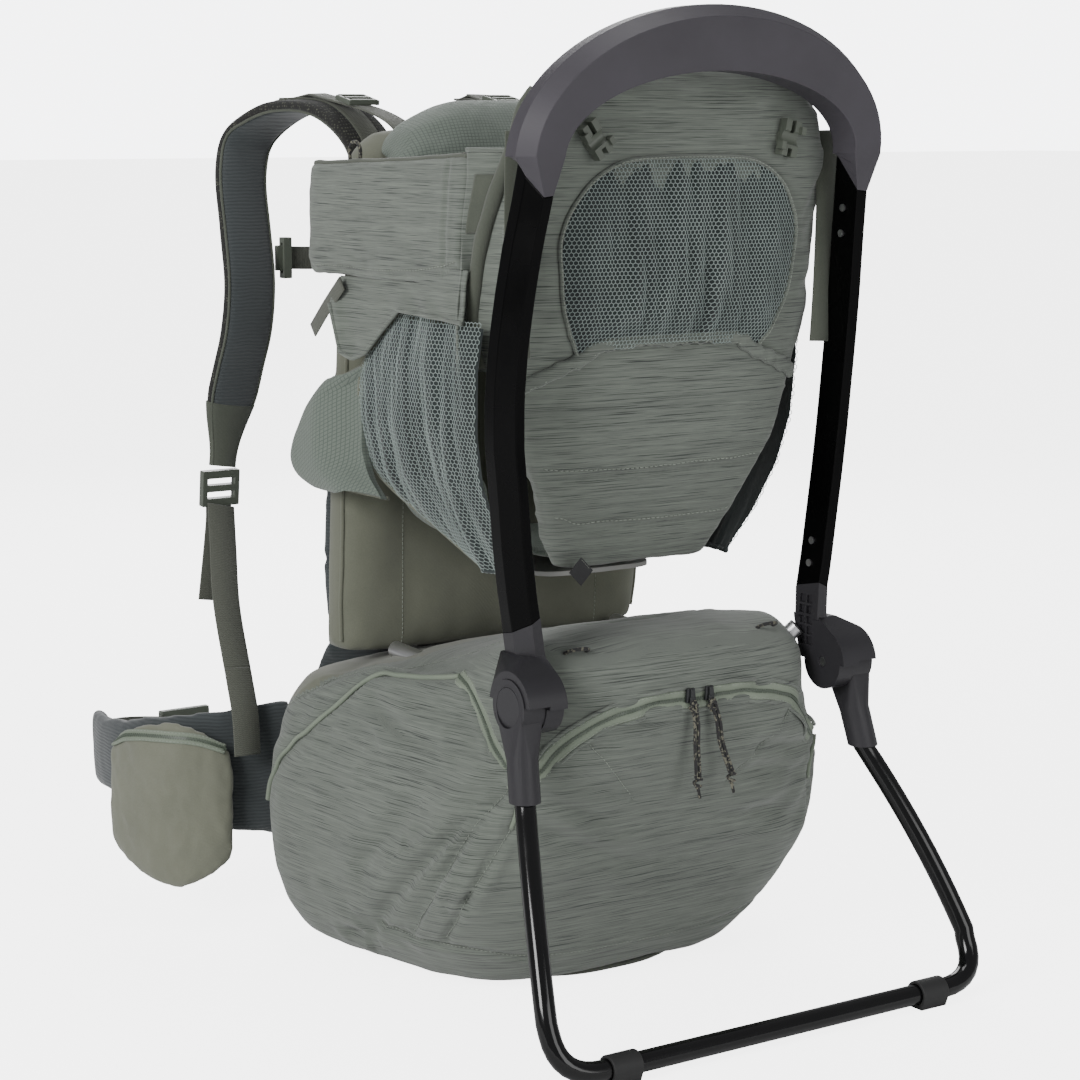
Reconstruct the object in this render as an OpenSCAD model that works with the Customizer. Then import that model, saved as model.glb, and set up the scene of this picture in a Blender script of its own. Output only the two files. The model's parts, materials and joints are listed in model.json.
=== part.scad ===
// Framed child carrier backpack: a hoop frame with a folding stand, a padded cockpit for the child,
// a cargo bag under it, and a shoulder harness and hip belt for the wearer.
// Millimetres. +Z up, +Y towards the wearer, origin on the floor at the middle of the bag's base.

/* [Frame] */
// Height of the hoop's top above the floor
frame_h = 770; // [750:5:790]
// Half the distance between the uprights' inner edges at the widest point
hoop_half_w = 151; // [149:1:152]
// Height of the joint between the uprights and the top arch
arch_joint_z = 632; // [628:1:634]
// Height of the joint between the uprights and the hinge housings
housing_joint_z = 320; // [318:1:324]

/* [Stand] */
// Height of the stand's pivot axis
pivot_z = 257; // [255:1:259]
// Distance of the pivot axis behind the bag's middle
pivot_back = 213; // [211:1:215]
// Outside diameter of the stand's tube
tube_d = 16; // [14:1:17]
// Distance of the floor bar behind the bag's middle
bar_back = 330; // [322:2:338]
// Half the stand's width at the floor, between tube centre lines
bar_half_w = 207; // [200:1:212]
// Radius of the stand's corner bends
bend_r = 46; // [38:2:50]

/* [Bag] */
// Half the bag's greatest width
bag_half_w = 182; // [178:1:184]
// Distance from the bag's middle to its front at the zip
bag_front = 226; // [222:1:228]
// Height of the bag's crown
bag_h = 296; // [290:1:298]

/* [Seat and back] */
// Half the back panel's width
back_half_w = 154; // [148:1:156]
// Height of the back panel's top
back_top_z = 684; // [680:1:686]
// Half the rear seat panel's greatest width
seat_half_w = 138; // [134:1:139]
// Thickness of the padded seat panel
pad_t = 18; // [14:1:18]

/* [Harness and belt] */
// Width of the shoulder straps
strap_w = 58; // [50:1:60]
// Thickness of the shoulder straps
strap_t = 13; // [10:1:14]
// Height of the hip wings at the lumbar pad
wing_h = 124; // [110:2:126]
// Thickness of the hip wings
wing_t = 16; // [12:1:17]

/* [Hidden] */

$fn = 48;

// Colours
charcoal = [0.17, 0.16, 0.18];
black = [0.06, 0.06, 0.07];
heather = [0.40, 0.44, 0.39];
sage = [0.44, 0.46, 0.38];
grid_green = [0.45, 0.52, 0.46];
mesh_blue = [0.38, 0.47, 0.46];
pad_blue = [0.30, 0.36, 0.38];
knit = [0.27, 0.26, 0.22];
webbing = [0.36, 0.39, 0.33];
tape_green = [0.55, 0.62, 0.52];
steel = [0.6, 0.6, 0.62];

// Running clearance between parts that turn or slide on each other
gap = 0.3;
pivot_y = -pivot_back;
pivot_pin_r = 4;
tube_r = tube_d / 2;
// Rubber under the floor bar
foot_t = 3.6;
bar_z = tube_r + foot_t;
// Floor plane of the bag's base panel
base_t = 3;

// ---------- vectors and smooth curves ----------

function unit(v) = v / norm(v);
function mix(a, b, t) = a + (b - a) * t;
function ease(t) = t * t * (3 - 2 * t);

// Catmull-Rom curve through control points, with n steps in each span
function spline_point(p, i, t) =
    let (
        last = len(p) - 1,
        a = p[max(i - 1, 0)],
        b = p[i],
        c = p[i + 1],
        d = p[min(i + 2, last)]
    )
    0.5 * (2 * b + (c - a) * t + (2 * a - 5 * b + 4 * c - d) * t * t + (3 * b - a - 3 * c + d) * t * t * t);
function spline(p, n) = concat(
    [for (i = [0 : len(p) - 2]) for (k = [0 : n - 1]) spline_point(p, i, k / n)],
    [p[len(p) - 1]]
);

// Superellipse outline, centre [cx, cy], half sizes hx and hy, squareness n
function signed_pow(v, e) = sign(v) * pow(abs(v), e);
function squircle(cx, cy, hx, hy, n, count) = [
    for (i = [0 : count - 1])
        let (a = 360 * i / count)
        [cx + hx * signed_pow(cos(a), 2 / n), cy + hy * signed_pow(sin(a), 2 / n)]
];

// ---------- solids from rings of points ----------

// Closed solid through rings that all have the same number of points
module loft(rings) {
    n = len(rings[0]);
    last = len(rings) - 1;
    points = [for (r = rings) for (p = r) p];
    sides = [
        for (j = [0 : last - 1])
            for (i = [0 : n - 1])
                let (k = (i + 1) % n)
                each [
                    [j * n + i, (j + 1) * n + i, (j + 1) * n + k],
                    [j * n + i, (j + 1) * n + k, j * n + k]
                ]
    ];
    first_cap = [[for (i = [0 : n - 1]) i]];
    last_cap = [[for (i = [n - 1 : -1 : 0]) last * n + i]];
    polyhedron(points, concat(sides, first_cap, last_cap), convexity = 8);
}

// Rings of a flat profile carried along a path; side(i) keeps its first axis
function carried(profile, path, side) = [
    for (i = [0 : len(path) - 1])
        let (
            t = unit(path[min(i + 1, len(path) - 1)] - path[max(i - 1, 0)]),
            a = unit(side - (side * t) * t),
            b = cross(t, a)
        )
        [for (p = profile) path[i] + p[0] * a + p[1] * b]
];

module sweep(profile, path, side = [1, 0, 0]) {
    loft(carried(profile, path, side));
}

// Strap profile: a thin rounded bar
function bar_profile(w, t) = squircle(0, 0, w / 2, t / 2, 5, 12);
function round_profile(r, count = 20) = [
    for (i = [0 : count - 1]) [r * cos(360 * i / count), r * sin(360 * i / count)]
];

module mirror_x() {
    mirror([1, 0, 0]) children();
}

module pair_x() {
    children();
    mirror_x() children();
}

// Cylinder along X from x0 to x1
module rod_x(x0, x1, y, z, r) {
    translate([x0, y, z]) rotate([0, 90, 0]) cylinder(h = x1 - x0, r = r);
}

// ---------- hoop frame ----------

// Section of the hoop: u outwards, v towards the wearer, from the inner rear edge
rear_flat = 9;
bevel_u = 9;
bevel_v = 14;
section_v = 31;
function hoop_section(flat) = [
    [0, 0], [flat, -1], [flat + bevel_u, bevel_v], [flat + bevel_u, section_v - 4],
    [flat + bevel_u - 4, section_v], [3, section_v], [0, section_v - 4]
];

// Inner rear edge of the right upright: x and y against height
upright_x = [
    [housing_joint_z - 12, 132.5], [333, 137], [372, 142], [410, 146], [447, hoop_half_w - 1],
    [484, hoop_half_w + 0.6], [521, hoop_half_w + 0.3], [557, hoop_half_w - 1.5], [594, 146.5],
    [arch_joint_z - 2, 142.6], [arch_joint_z + 40, 139]
];
upright_y = [
    [housing_joint_z - 12, -206], [372, -206.5], [410, -208], [447, -208.5], [484, -211],
    [521, -215.5], [557, -221], [594, -227], [arch_joint_z - 2, -234.5], [arch_joint_z + 40, -242]
];

// Height of the slanted joint planes at section point p
function top_cut(p) = arch_joint_z + p[1];
function low_cut(p) = housing_joint_z - 0.5 * p[0] - 0.2 * p[1];

upright_steps = 22;
module upright() {
    section = hoop_section(rear_flat);
    rings = [
        for (j = [0 : upright_steps])
            [for (p = section)
                let (z = mix(low_cut(p), top_cut(p) - 0.1, j / upright_steps))
                [lookup(z, upright_x) + p[0], lookup(z, upright_y) + p[1], z]]
    ];
    loft(rings);
}
module upright_right() { color(black) upright(); }
module upright_left() { color(black) mirror_x() upright(); }

// Top arch: two half ellipses about the same centre, on a plane that leans back
arch_z = 660;
arch_lean = -0.185;
arch_in = [135.5, 61.5];
arch_out = [161, 101];
edge_drop = 9;
arch_top = [arch_out[0], frame_h - edge_drop - arch_z];
function arch_y(z) = -235 + arch_lean * (z - (arch_joint_z + 2));
// Ring of the arch at angle a, where 0 is the right springing and 180 the left one
function arch_ring(a) =
    let (
        inner = [arch_in[0] * cos(a), arch_z + arch_in[1] * sin(a)],
        outer = [arch_top[0] * cos(a), arch_z + arch_top[1] * sin(a)],
        out = unit([cos(a) / arch_out[0], sin(a) / arch_out[1]]),
        y0 = arch_y(inner[1]),
        y1 = arch_y(outer[1]),
        lip = outer + edge_drop * out,
        shoulder = outer + (edge_drop - 4) * out,
        nose = inner + 3 * out
    )
    [
        [inner[0], y0, inner[1]], [outer[0], y1, outer[1]],
        [lip[0], y1 + bevel_v, lip[1]], [lip[0], y1 + section_v - 4, lip[1]],
        [shoulder[0], y1 + section_v, shoulder[1]], [nose[0], y0 + section_v, nose[1]],
        [inner[0], y0 + section_v - 4, inner[1]]
    ];
// Ring at the joint with an upright, on the slanted plane; s is 1 at the right
function arch_foot(s) = [
    for (p = hoop_section(rear_flat))
        let (z = top_cut(p))
        [s * (lookup(z, upright_x) + p[0]), lookup(z, upright_y) + p[1], z]
];
function ring_mix(a, b, t) = [for (i = [0 : len(a) - 1]) mix(a[i], b[i], t)];

arch_steps = 40;
module handle_arch() {
    right = arch_ring(0);
    left = arch_ring(180);
    color(charcoal) loft(concat(
        [arch_foot(1), ring_mix(arch_foot(1), right, 0.35), ring_mix(arch_foot(1), right, 0.7)],
        [for (i = [0 : arch_steps]) arch_ring(180 * i / arch_steps)],
        [ring_mix(arch_foot(-1), left, 0.7), ring_mix(arch_foot(-1), left, 0.35), arch_foot(-1)]
    ));
}

// Screws on the uprights' inner faces
screw_r = 3;
screw_heights = [618, 598, 352, 334];
module frame_screws() {
    color(steel) pair_x() for (z = screw_heights) {
        x = lookup(z, upright_x);
        y = lookup(z, upright_y) + 15;
        rod_x(x - 1.6, x - 0.1, y, z, screw_r);
    }
}

// ---------- hinges and stand ----------

cheek_x = [133, 148.6];
knuckle_x = [149, 168];
knuckle_r = 21;
pin_bore_r = pivot_pin_r + 0.05;

// Slab of the hoop section just under the uprights' joint
module housing_top(u_from) {
    section = [for (p = hoop_section(rear_flat)) [max(p[0], u_from), p[1]]];
    bottom_z = housing_joint_z - 30;
    loft([
        [for (p = section) [lookup(bottom_z, upright_x) + p[0] - 1, p[1] - 208, bottom_z]],
        [for (p = section)
            [lookup(low_cut(p), upright_x) + p[0], lookup(low_cut(p), upright_y) + p[1], low_cut(p) - 0.1]]
    ]);
}

// Grid of shallow pockets on the housing's inner face
pocket_pitch = 8.5;
module rib_pockets() {
    for (row = [0 : 4])
        for (col = [0 : 1])
            translate([cheek_x[0] - 3, -200 + col * pocket_pitch, 268 + row * pocket_pitch])
                cube([5, pocket_pitch - 2, pocket_pitch - 2]);
}

cover_r = 27;
module hinge_housing() {
    difference() {
        union() {
            // Upper block, whole width
            housing_top(-1);
            // Cover that flares out round the knuckle
            hull() {
                rod_x(cheek_x[0], knuckle_x[1] - 1, pivot_y, pivot_z, cover_r);
                translate([cheek_x[0], -208, housing_joint_z - 30]) cube([18, 31, 2]);
            }
            // Inner cheek that carries the pin
            rod_x(cheek_x[0], cheek_x[1], pivot_y, pivot_z, knuckle_r + 1);
        }
        // Seat in which the leg's knuckle turns
        rod_x(cheek_x[1], knuckle_x[1] + 20, pivot_y, pivot_z, knuckle_r + gap);
        // Room for the leg below the seat
        translate([cheek_x[1], -300, pivot_z - 57]) cube([60, 200, 60]);
        // The cheek ends in a round below the pivot
        translate([cheek_x[0] - 5, pivot_y - 40, pivot_z - 57]) difference() {
            cube([30, 80, 57]);
            translate([0, 40, 57]) rotate([0, 90, 0]) cylinder(h = 30, r = knuckle_r + 1);
        }
        rod_x(cheek_x[0] - 5, cheek_x[1] + 5, pivot_y, pivot_z, pivot_pin_r);
        rib_pockets();
    }
}
module hinge_housing_right() { color(charcoal) hinge_housing(); }
module hinge_housing_left() { color(charcoal) mirror_x() hinge_housing(); }

// Centre line of the leg's tube, from inside the socket to the floor bar
socket_end = [164, -229, 188];
leg_start = [160.5, -220, 222];
leg_corner = [bar_half_w, -bar_back, bar_z];
leg_bow = [5, -5, 0];
function leg_point(t) = mix(socket_end, leg_corner, t) + leg_bow * (4 * t * (1 - t));
leg_dir = unit(leg_corner - leg_point(0.5));
// Where the leg's straight run meets the corner bend, and where the floor bar leaves it
bend_trim = bend_r * 0.95;
corner_in = leg_corner - leg_dir * bend_trim;
corner_out = leg_corner - [bend_trim, 0, 0];
bend_steps = 9;
function corner_point(t) =
    (1 - t) * (1 - t) * corner_in + 2 * t * (1 - t) * leg_corner + t * t * corner_out;
leg_steps = 10;
leg_share = 1 - bend_trim / norm(leg_corner - socket_end);
half_tube = concat(
    [leg_start],
    [for (i = [0 : leg_steps]) leg_point(leg_share * i / leg_steps)],
    [for (i = [1 : bend_steps]) corner_point(i / bend_steps)]
);
function flip_x(p) = [-p[0], p[1], p[2]];
full_tube = concat(
    half_tube,
    [for (i = [len(half_tube) - 1 : -1 : 0]) flip_x(half_tube[i])]
);

module stand_tube() {
    color(black) sweep(round_profile(tube_r, 20), full_tube, side = [0.35, -0.75, 0.55]);
}

socket_r = 12;
module socket_shell() {
    hull() {
        translate(mix(leg_start, socket_end, 0.1)) sphere(r = socket_r, $fn = 28);
        translate(socket_end) cylinder(h = 1, r = socket_r, $fn = 28);
    }
    hull() {
        rod_x(knuckle_x[0], knuckle_x[1], pivot_y, pivot_z, knuckle_r - 3);
        translate(mix(leg_start, socket_end, 0.1)) sphere(r = socket_r, $fn = 28);
    }
    rod_x(knuckle_x[0], knuckle_x[1], pivot_y, pivot_z, knuckle_r);
}

module leg_socket() {
    difference() {
        socket_shell();
        // Bore for the tube
        loft(carried(round_profile(tube_r + 0.05, 20),
            [leg_start + [0, 0, 0.2], socket_end, mix(socket_end, leg_corner, 0.2)], [0.35, -0.75, 0.55]));
        rod_x(knuckle_x[0] - 5, knuckle_x[1] + 5, pivot_y, pivot_z, pin_bore_r);
        // Recess for the cap
        rod_x(knuckle_x[1] - 1.5, knuckle_x[1] + 5, pivot_y, pivot_z, cap_r + gap);
        // The inner face runs flat past the cheek
        translate([knuckle_x[0] - 60, -300, 100]) cube([60, 200, 250]);
    }
}
module leg_socket_right() { color(charcoal) leg_socket(); }
module leg_socket_left() { color(charcoal) mirror_x() leg_socket(); }

module pivot_pins() {
    color(steel) pair_x() rod_x(cheek_x[0] + 1, knuckle_x[1] - 2, pivot_y, pivot_z, pivot_pin_r);
}

cap_r = 15;
module pivot_caps() {
    color(charcoal) pair_x() rod_x(knuckle_x[1] - 1.5, knuckle_x[1] + 0.4, pivot_y, pivot_z, cap_r);
}

// Rubber clip feet on the floor bar
foot_x = 148;
foot_len = 26;
module foot() {
    difference() {
        hull() {
            rod_x(foot_x - foot_len / 2, foot_x + foot_len / 2, -bar_back, bar_z, tube_r + 2.6);
            translate([foot_x - foot_len / 2, -bar_back - 7, 0]) cube([foot_len, 14, 2]);
        }
        rod_x(foot_x - foot_len, foot_x + foot_len, -bar_back, bar_z, tube_r + 0.02);
    }
}
module stand_feet() { color(black) pair_x() foot(); }

// ---------- frame parts inside the fabric ----------

rail_r = 7;
rail_path = spline([[129, -186, 282], [118, -172, 268], [112, -120, 256], [112, -40, 250], [112, 42, 252]], 5);
module side_rails() {
    color(steel) pair_x() sweep(round_profile(rail_r, 16), rail_path);
}

// Back frame: an upside-down U of flat tube inside the back panel
back_frame_y = 76;
back_frame_path = spline([
    [112, back_frame_y, 252], [114, back_frame_y, 350], [112, back_frame_y, 480], [104, back_frame_y + 4, 600],
    [70, back_frame_y + 8, 652], [0, back_frame_y + 10, 662], [-70, back_frame_y + 8, 652],
    [-104, back_frame_y + 4, 600], [-112, back_frame_y, 480], [-114, back_frame_y, 350], [-112, back_frame_y, 252]
], 4);
module back_frame() {
    color(steel) sweep(round_profile(6, 12), back_frame_path, side = [0, 1, 0]);
}
module back_frame_channel() {
    sweep(round_profile(6.4, 12), back_frame_path, side = [0, 1, 0]);
}

// ---------- back panel ----------

// Ring of a panel across X at height z: rear and front faces, half width w, squareness n
function slab_ring(z, w, y0, y1, n = 5, count = 32) =
    [for (p = squircle(0, (y0 + y1) / 2, w, (y1 - y0) / 2, n, count)) [p[0], p[1], z]];

module back_panel() {
    band_clear_w = 138;
    color(sage) difference() {
        loft([
            slab_ring(247, back_half_w - 2, 52, 112),
            slab_ring(300, back_half_w, 51, 104),
            slab_ring(394, back_half_w, 50, 100),
            slab_ring(500, back_half_w - 4, 50, 98),
            slab_ring(545, 147, 51, 98),
            slab_ring(552, band_clear_w, 51, 98),
            slab_ring(640, band_clear_w - 2, 54, 102),
            slab_ring(664, 128, 58, 106, 4),
            slab_ring(back_top_z - 6, 112, 64, 108, 3),
            slab_ring(back_top_z, 96, 72, 102, 3)
        ]);
        back_frame_channel();
    }
}

module back_padding() {
    color(pad_blue) loft([
        slab_ring(262, 134, 113, 138, 4),
        slab_ring(300, 140, 106, 130, 4),
        slab_ring(394, 140, 101, 122, 4),
        slab_ring(480, 136, 99.5, 120, 4),
        slab_ring(500, 130, 100, 118, 4)
    ]);
}

module lumbar_pad() {
    color(pad_blue) loft([
        slab_ring(62, 100, 150, 168, 3),
        slab_ring(90, 125, 151, 180, 4),
        slab_ring(150, 130, 151, 184, 4),
        slab_ring(210, 128, 147, 172, 4),
        slab_ring(244, 120, 134, 156, 4),
        slab_ring(256, 100, 129, 147, 4)
    ]);
}

// ---------- cockpit ----------

// Panel ring that wraps forwards at its sides
function wrap_ring(z, w, y0, t, wrap, half = 10) = concat(
    [for (i = [-half : half]) let (s = i / half) [w * s, y0 + wrap * pow(abs(s), 4), z]],
    [for (i = [half : -1 : -half]) let (s = i / half) [(w - 3) * s, y0 + t + wrap * pow(abs(s), 4), z]]
);

module rear_seat_panel() {
    color(heather) loft([
        wrap_ring(336, 74, -142, pad_t - 4, 4),
        wrap_ring(370, 92, -153, pad_t, 6),
        wrap_ring(401, 107, -165, pad_t, 8),
        wrap_ring(441, 127, -177, pad_t, 10),
        wrap_ring(484, seat_half_w - 7, -184, pad_t, 12),
        wrap_ring(520, seat_half_w, -187, pad_t, 14),
        wrap_ring(600, seat_half_w + 1, -195, pad_t, 14),
        wrap_ring(660, seat_half_w, -203, pad_t, 12),
        wrap_ring(694, seat_half_w - 14, -207, pad_t, 10),
        wrap_ring(712, seat_half_w - 44, -209, pad_t - 4, 4)
    ]);
}

// Mesh pocket on the rear of the seat panel
module rear_mesh_pocket() {
    mesh_t = 5;
    color(mesh_blue) loft([
        wrap_ring(508, 84, -186.4 - mesh_t, mesh_t, 2),
        wrap_ring(540, 98, -190.4 - mesh_t, mesh_t, 3),
        wrap_ring(600, 104, -196.4 - mesh_t, mesh_t, 4),
        wrap_ring(636, 92, -201 - mesh_t, mesh_t, 2),
        wrap_ring(654, 68, -203.4 - mesh_t, mesh_t, 1)
    ]);
}

// Curved side wall between the seat panel and the leg opening
side_wall_t = 5;
side_wall_top = 546;
function side_wall_ring(z, x0, x1, y0, y1) = [
    [x0, y0, z], [x1, y0 + 4, z], [x1 + 4, (y0 + y1) / 2, z], [x1, y1, z],
    [x1 - side_wall_t, y1, z], [x1 - 1, (y0 + y1) / 2, z], [x0 - side_wall_t, y0 + 6, z]
];
module side_mesh() {
    loft([
        side_wall_ring(338, 92, 108, -128, -72),
        side_wall_ring(372, 108, 130, -136, -44),
        side_wall_ring(410, 126, 148, -142, -12),
        side_wall_ring(450, 138, 156, -148, -4),
        side_wall_ring(500, 143, 158, -152, -6),
        side_wall_ring(side_wall_top, 144, 152, -154, -40)
    ]);
}
module side_mesh_right() { color(mesh_blue) side_mesh(); }
module side_mesh_left() { color(mesh_blue) mirror_x() side_mesh(); }

// Leg wings of the saddle: a curved pad outside the back panel's edge
wing_t_seat = 9;
function wing_pad_ring(y, x, z0, z1) = [
    for (p = squircle(x, (z0 + z1) / 2, wing_t_seat / 2, (z1 - z0) / 2, 3, 20)) [p[0], y, p[1]]
];
module seat_wing() {
    loft([
        wing_pad_ring(96, 169, 416, 444),
        wing_pad_ring(88, 170, 402, 460),
        wing_pad_ring(66, 169, 396, 476),
        wing_pad_ring(36, 167, 391, 490),
        wing_pad_ring(10, 165.5, 388, 498)
    ]);
}
module seat_wing_right() { color(grid_green) seat_wing(); }
module seat_wing_left() { color(grid_green) mirror_x() seat_wing(); }

// Saddle: a sheet bent into a U across X, between the side walls
saddle_path = spline([
    [-118, -36, 416], [-108, -36, 380], [-80, -36, 356], [-40, -36, 345], [0, -36, 342],
    [40, -36, 345], [80, -36, 356], [108, -36, 380], [118, -36, 416]
], 3);
saddle_len = 144;
module seat_saddle() {
    color(grid_green) sweep(squircle(0, 0, saddle_len / 2, 5, 6, 20), saddle_path, side = [0, 1, 0]);
}

module seat_board() {
    color("white") translate([0, -36, 326]) linear_extrude(4)
        polygon(squircle(0, 0, 58, 60, 5, 32));
}

// Band round the cockpit's top, which turns round the back panel's corner
band_outline = [
    [141.5, -150], [149, -157], [155, -152], [158, -20], [157, 92], [152, 108], [140, 116], [104, 119],
    [102, 109.5], [134, 108], [143, 98], [143, 50], [142.5, -20]
];
function band_ring(z, grow) = [for (p = band_outline) [p[0] + (p[0] > 146 ? grow : 0), p[1], z]];
module cockpit_band() {
    loft([band_ring(560, -1), band_ring(580, 1), band_ring(630, 1), band_ring(656, -1)]);
}
module cockpit_band_right() { color(heather) cockpit_band(); }
module cockpit_band_left() { color(heather) mirror_x() cockpit_band(); }

module face_pad() {
    color(grid_green) loft([
        slab_ring(578, 84, 22, 46, 4),
        slab_ring(600, 100, 18, 49, 4),
        slab_ring(650, 116, 18, 52, 4),
        slab_ring(682, 118, 22, 55, 4),
        slab_ring(686, 116, 24, 86, 4),
        slab_ring(698, 98, 34, 78, 3)
    ]);
}

// Child harness: padded straps on the seat panel, a crotch strap and a buckle
child_strap_path = spline([[52, -171, 606], [50, -168, 560], [42, -163, 520], [32, -158.5, 492]], 4);
module child_harness() {
    sweep(bar_profile(34, 6), child_strap_path);
}
module child_harness_right() { color(knit) child_harness(); }
module child_harness_left() { color(knit) mirror_x() child_harness(); }

module crotch_strap() {
    color(webbing) sweep(bar_profile(25, 2.5), spline([[0, -102, 352.5], [0, -132, 372], [0, -146.5, 410], [0, -153, 442]], 5));
}

harness_buckle_y = -154;
module harness_buckle() {
    button_r = 9;
    color(charcoal) difference() {
        translate([0, harness_buckle_y, 464]) rotate([90, 0, 0]) linear_extrude(9, center = true)
            polygon(squircle(0, 0, 23, 19, 4, 32));
        translate([0, harness_buckle_y + 3, 462]) rotate([-90, 0, 0]) cylinder(h = 4, r = button_r);
    }
    color("red") translate([0, harness_buckle_y + 3.1, 462]) rotate([-90, 0, 0]) cylinder(h = 1.6, r = button_r - gap);
}

// Sunshade clips: a post with two jaws, which turns on a stud
clip_x = 91;
clip_y = -205;
clip_z = 672;
module shade_clip(tilt) {
    jaw_w = 15;
    translate([clip_x, clip_y, clip_z]) rotate([0, tilt, 0]) {
        translate([0, -1.2, 0]) rotate([90, 0, 0]) cylinder(h = 3, r = 8);
        difference() {
            translate([-jaw_w / 2, -12, -14]) cube([jaw_w, 8.2, 28]);
            translate([-jaw_w / 2 - 1, -14, 0]) rotate([0, 90, 0]) cylinder(h = jaw_w + 2, r = 5.5);
            translate([-2, -14, 4]) cube([4, 12, 12]);
            translate([-2, -14, -16]) cube([4, 12, 8]);
        }
        for (s = [-1, 1])
            translate([s * 8.5 - 2, -15, s * 7 - 3]) cube([4, 7, 6]);
    }
}
module shade_clip_right() { color(webbing) shade_clip(12); }
module shade_clip_left() { color(webbing) mirror_x() shade_clip(35); }

// ---------- bag ----------

// Ring of the bag: front y0, rear y1, half widths w0 at the front and w1 at the rear, squareness n;
// a small k makes it widen quickly behind the front
bag_points = 40;
function bag_ring(z, y0, y1, w0, w1, n, k = 1) = [
    for (p = squircle(0, 0, 1, 1, n, bag_points))
        let (t = (p[1] + 1) / 2)
        [p[0] * mix(w0, w1, pow(t, k)), mix(y0, y1, t), z]
];
// Half width of the bag's front where it passes between the hinges
bag_neck_w = 131;
module bag_shell() {
    loft([
        bag_ring(base_t + 0.2, -126, 130, 108, bag_half_w - 6, 5, 0.5),
        bag_ring(24, -139, 143, 127, bag_half_w + 6, 6, 0.5),
        bag_ring(60, -158, 148, 146, bag_half_w + 16, 7, 0.45),
        bag_ring(107, -179, 148, 153, bag_half_w + 19, 8, 0.4),
        bag_ring(160, -200, 148, 151, bag_half_w + 18, 7, 0.55),
        bag_ring(200, -215, 144, 144, bag_half_w + 11, 6, 0.6),
        bag_ring(230, 1 - bag_front, 130, bag_neck_w, bag_half_w - 2, 6),
        bag_ring(243, -bag_front, 46, bag_neck_w, bag_half_w - 16, 6),
        bag_ring(262, 4 - bag_front, 40, bag_neck_w - 5, bag_half_w - 26, 5),
        bag_ring(284, -206, 20, bag_neck_w - 17, bag_half_w - 46, 4),
        bag_ring(bag_h, -184, -46, bag_half_w - 102, bag_half_w - 92, 3)
    ]);
}
module bag_body() {
    color(heather) difference() {
        bag_shell();
        pair_x() sweep(round_profile(rail_r + 0.4, 16), rail_path);
    }
}

module bag_base_panel() {
    color(heather) linear_extrude(base_t)
        polygon([for (p = bag_ring(0, -122, 126, 104, bag_half_w - 10, 5, 0.5)) [p[0], p[1]]]);
}

// Zip across the bag's front, an arch that comes down to both front corners
zip_y = -bag_front - 2.6;
zip_run = 78;
zip_left_half = [
    [-141, zip_y + 24, 178], [-137, zip_y + 13, 200], [-122, zip_y + 3, 222], [-zip_run - 14, zip_y - 0.2, 240]
];
zip_path = spline(concat(
    zip_left_half,
    [[-zip_run, zip_y, 243.5], [0, zip_y, 244], [zip_run, zip_y, 243.5]],
    [for (i = [len(zip_left_half) - 1 : -1 : 0]) flip_x(zip_left_half[i])]
), 3);
module bag_zip() {
    color(tape_green) sweep(bar_profile(3, 20), zip_path, side = [0, 1, 0]);
}

module zip_slider(x) {
    translate([x - 5, zip_y - 5.4, 240]) cube([10, 3.6, 9]);
    translate([x, zip_y - 5.2, 212]) cylinder(h = 28.2, r = 1.7);
    translate([x, zip_y - 5.2, 184]) cylinder(h = 28.2, r = 2.6);
}
module zip_slider_right() { color(black) zip_slider(9); }
module zip_slider_left() { color(black) mirror_x() zip_slider(9); }

// Cord loops on the cockpit band and the bag's top
module cord_loop(at, turn) {
    translate(at) rotate([0, 0, turn]) rotate([90, 0, 0]) rotate_extrude(angle = 180)
        translate([8, 0]) circle(r = 1.7, $fn = 16);
}
module cord_loops() {
    color(black) pair_x() {
        cord_loop([149, 36, 656.3], 90);
        cord_loop([149, -126, 656.3], 90);
        cord_loop([92, -196, 288.5], 8);
    }
}

// ---------- wearer's harness ----------

module harness_yoke() {
    color(knit) loft([
        slab_ring(540, 70, 123.5, 134, 4, 24),
        slab_ring(560, 92, 122.5, 135, 4, 24),
        slab_ring(620, 94, 122.5, 135, 4, 24),
        slab_ring(640, 84, 123.5, 134, 4, 24)
    ]);
}

strap_path = spline([
    [62, 146, 628], [66, 158, 668], [76, 196, 694], [92, 248, 695], [112, 280, 672], [125, 276, 640],
    [130, 260, 591], [134, 246, 545], [138, 246, 505], [142, 256, 469], [148, 266, 425], [154, 266, 384]
], 4);
module shoulder_strap() {
    sweep(bar_profile(strap_w, strap_t), strap_path);
}
module shoulder_strap_right() { color(pad_blue) shoulder_strap(); }
module shoulder_strap_left() { color(pad_blue) mirror_x() shoulder_strap(); }

module load_lifter() {
    sweep(bar_profile(20, 2), spline([[70, 100, 687.5], [72, 140, 695], [76, 178, 702], [82, 216, 707.5]], 4));
    translate([74, 160, 701.5]) rotate([12, 0, -5]) difference() {
        cube([30, 24, 5], center = true);
        translate([0, 6, 0]) cube([22, 4, 10], center = true);
        translate([0, -6, 0]) cube([22, 4, 10], center = true);
    }
}
module load_lifter_right() { color(webbing) load_lifter(); }
module load_lifter_left() { color(webbing) mirror_x() load_lifter(); }

// Ladder lock at the strap's lower end
strap_end = [154, 266, 384];
module strap_lock() {
    translate(strap_end + [2, 2, -19]) rotate([6, 0, 0]) difference() {
        cube([36, 7, 32], center = true);
        translate([0, 0, 6]) cube([26, 20, 6], center = true);
        translate([0, 0, -6]) cube([26, 20, 6], center = true);
    }
}
module strap_lock_right() { color(webbing) strap_lock(); }
module strap_lock_left() { color(webbing) mirror_x() strap_lock(); }

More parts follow.
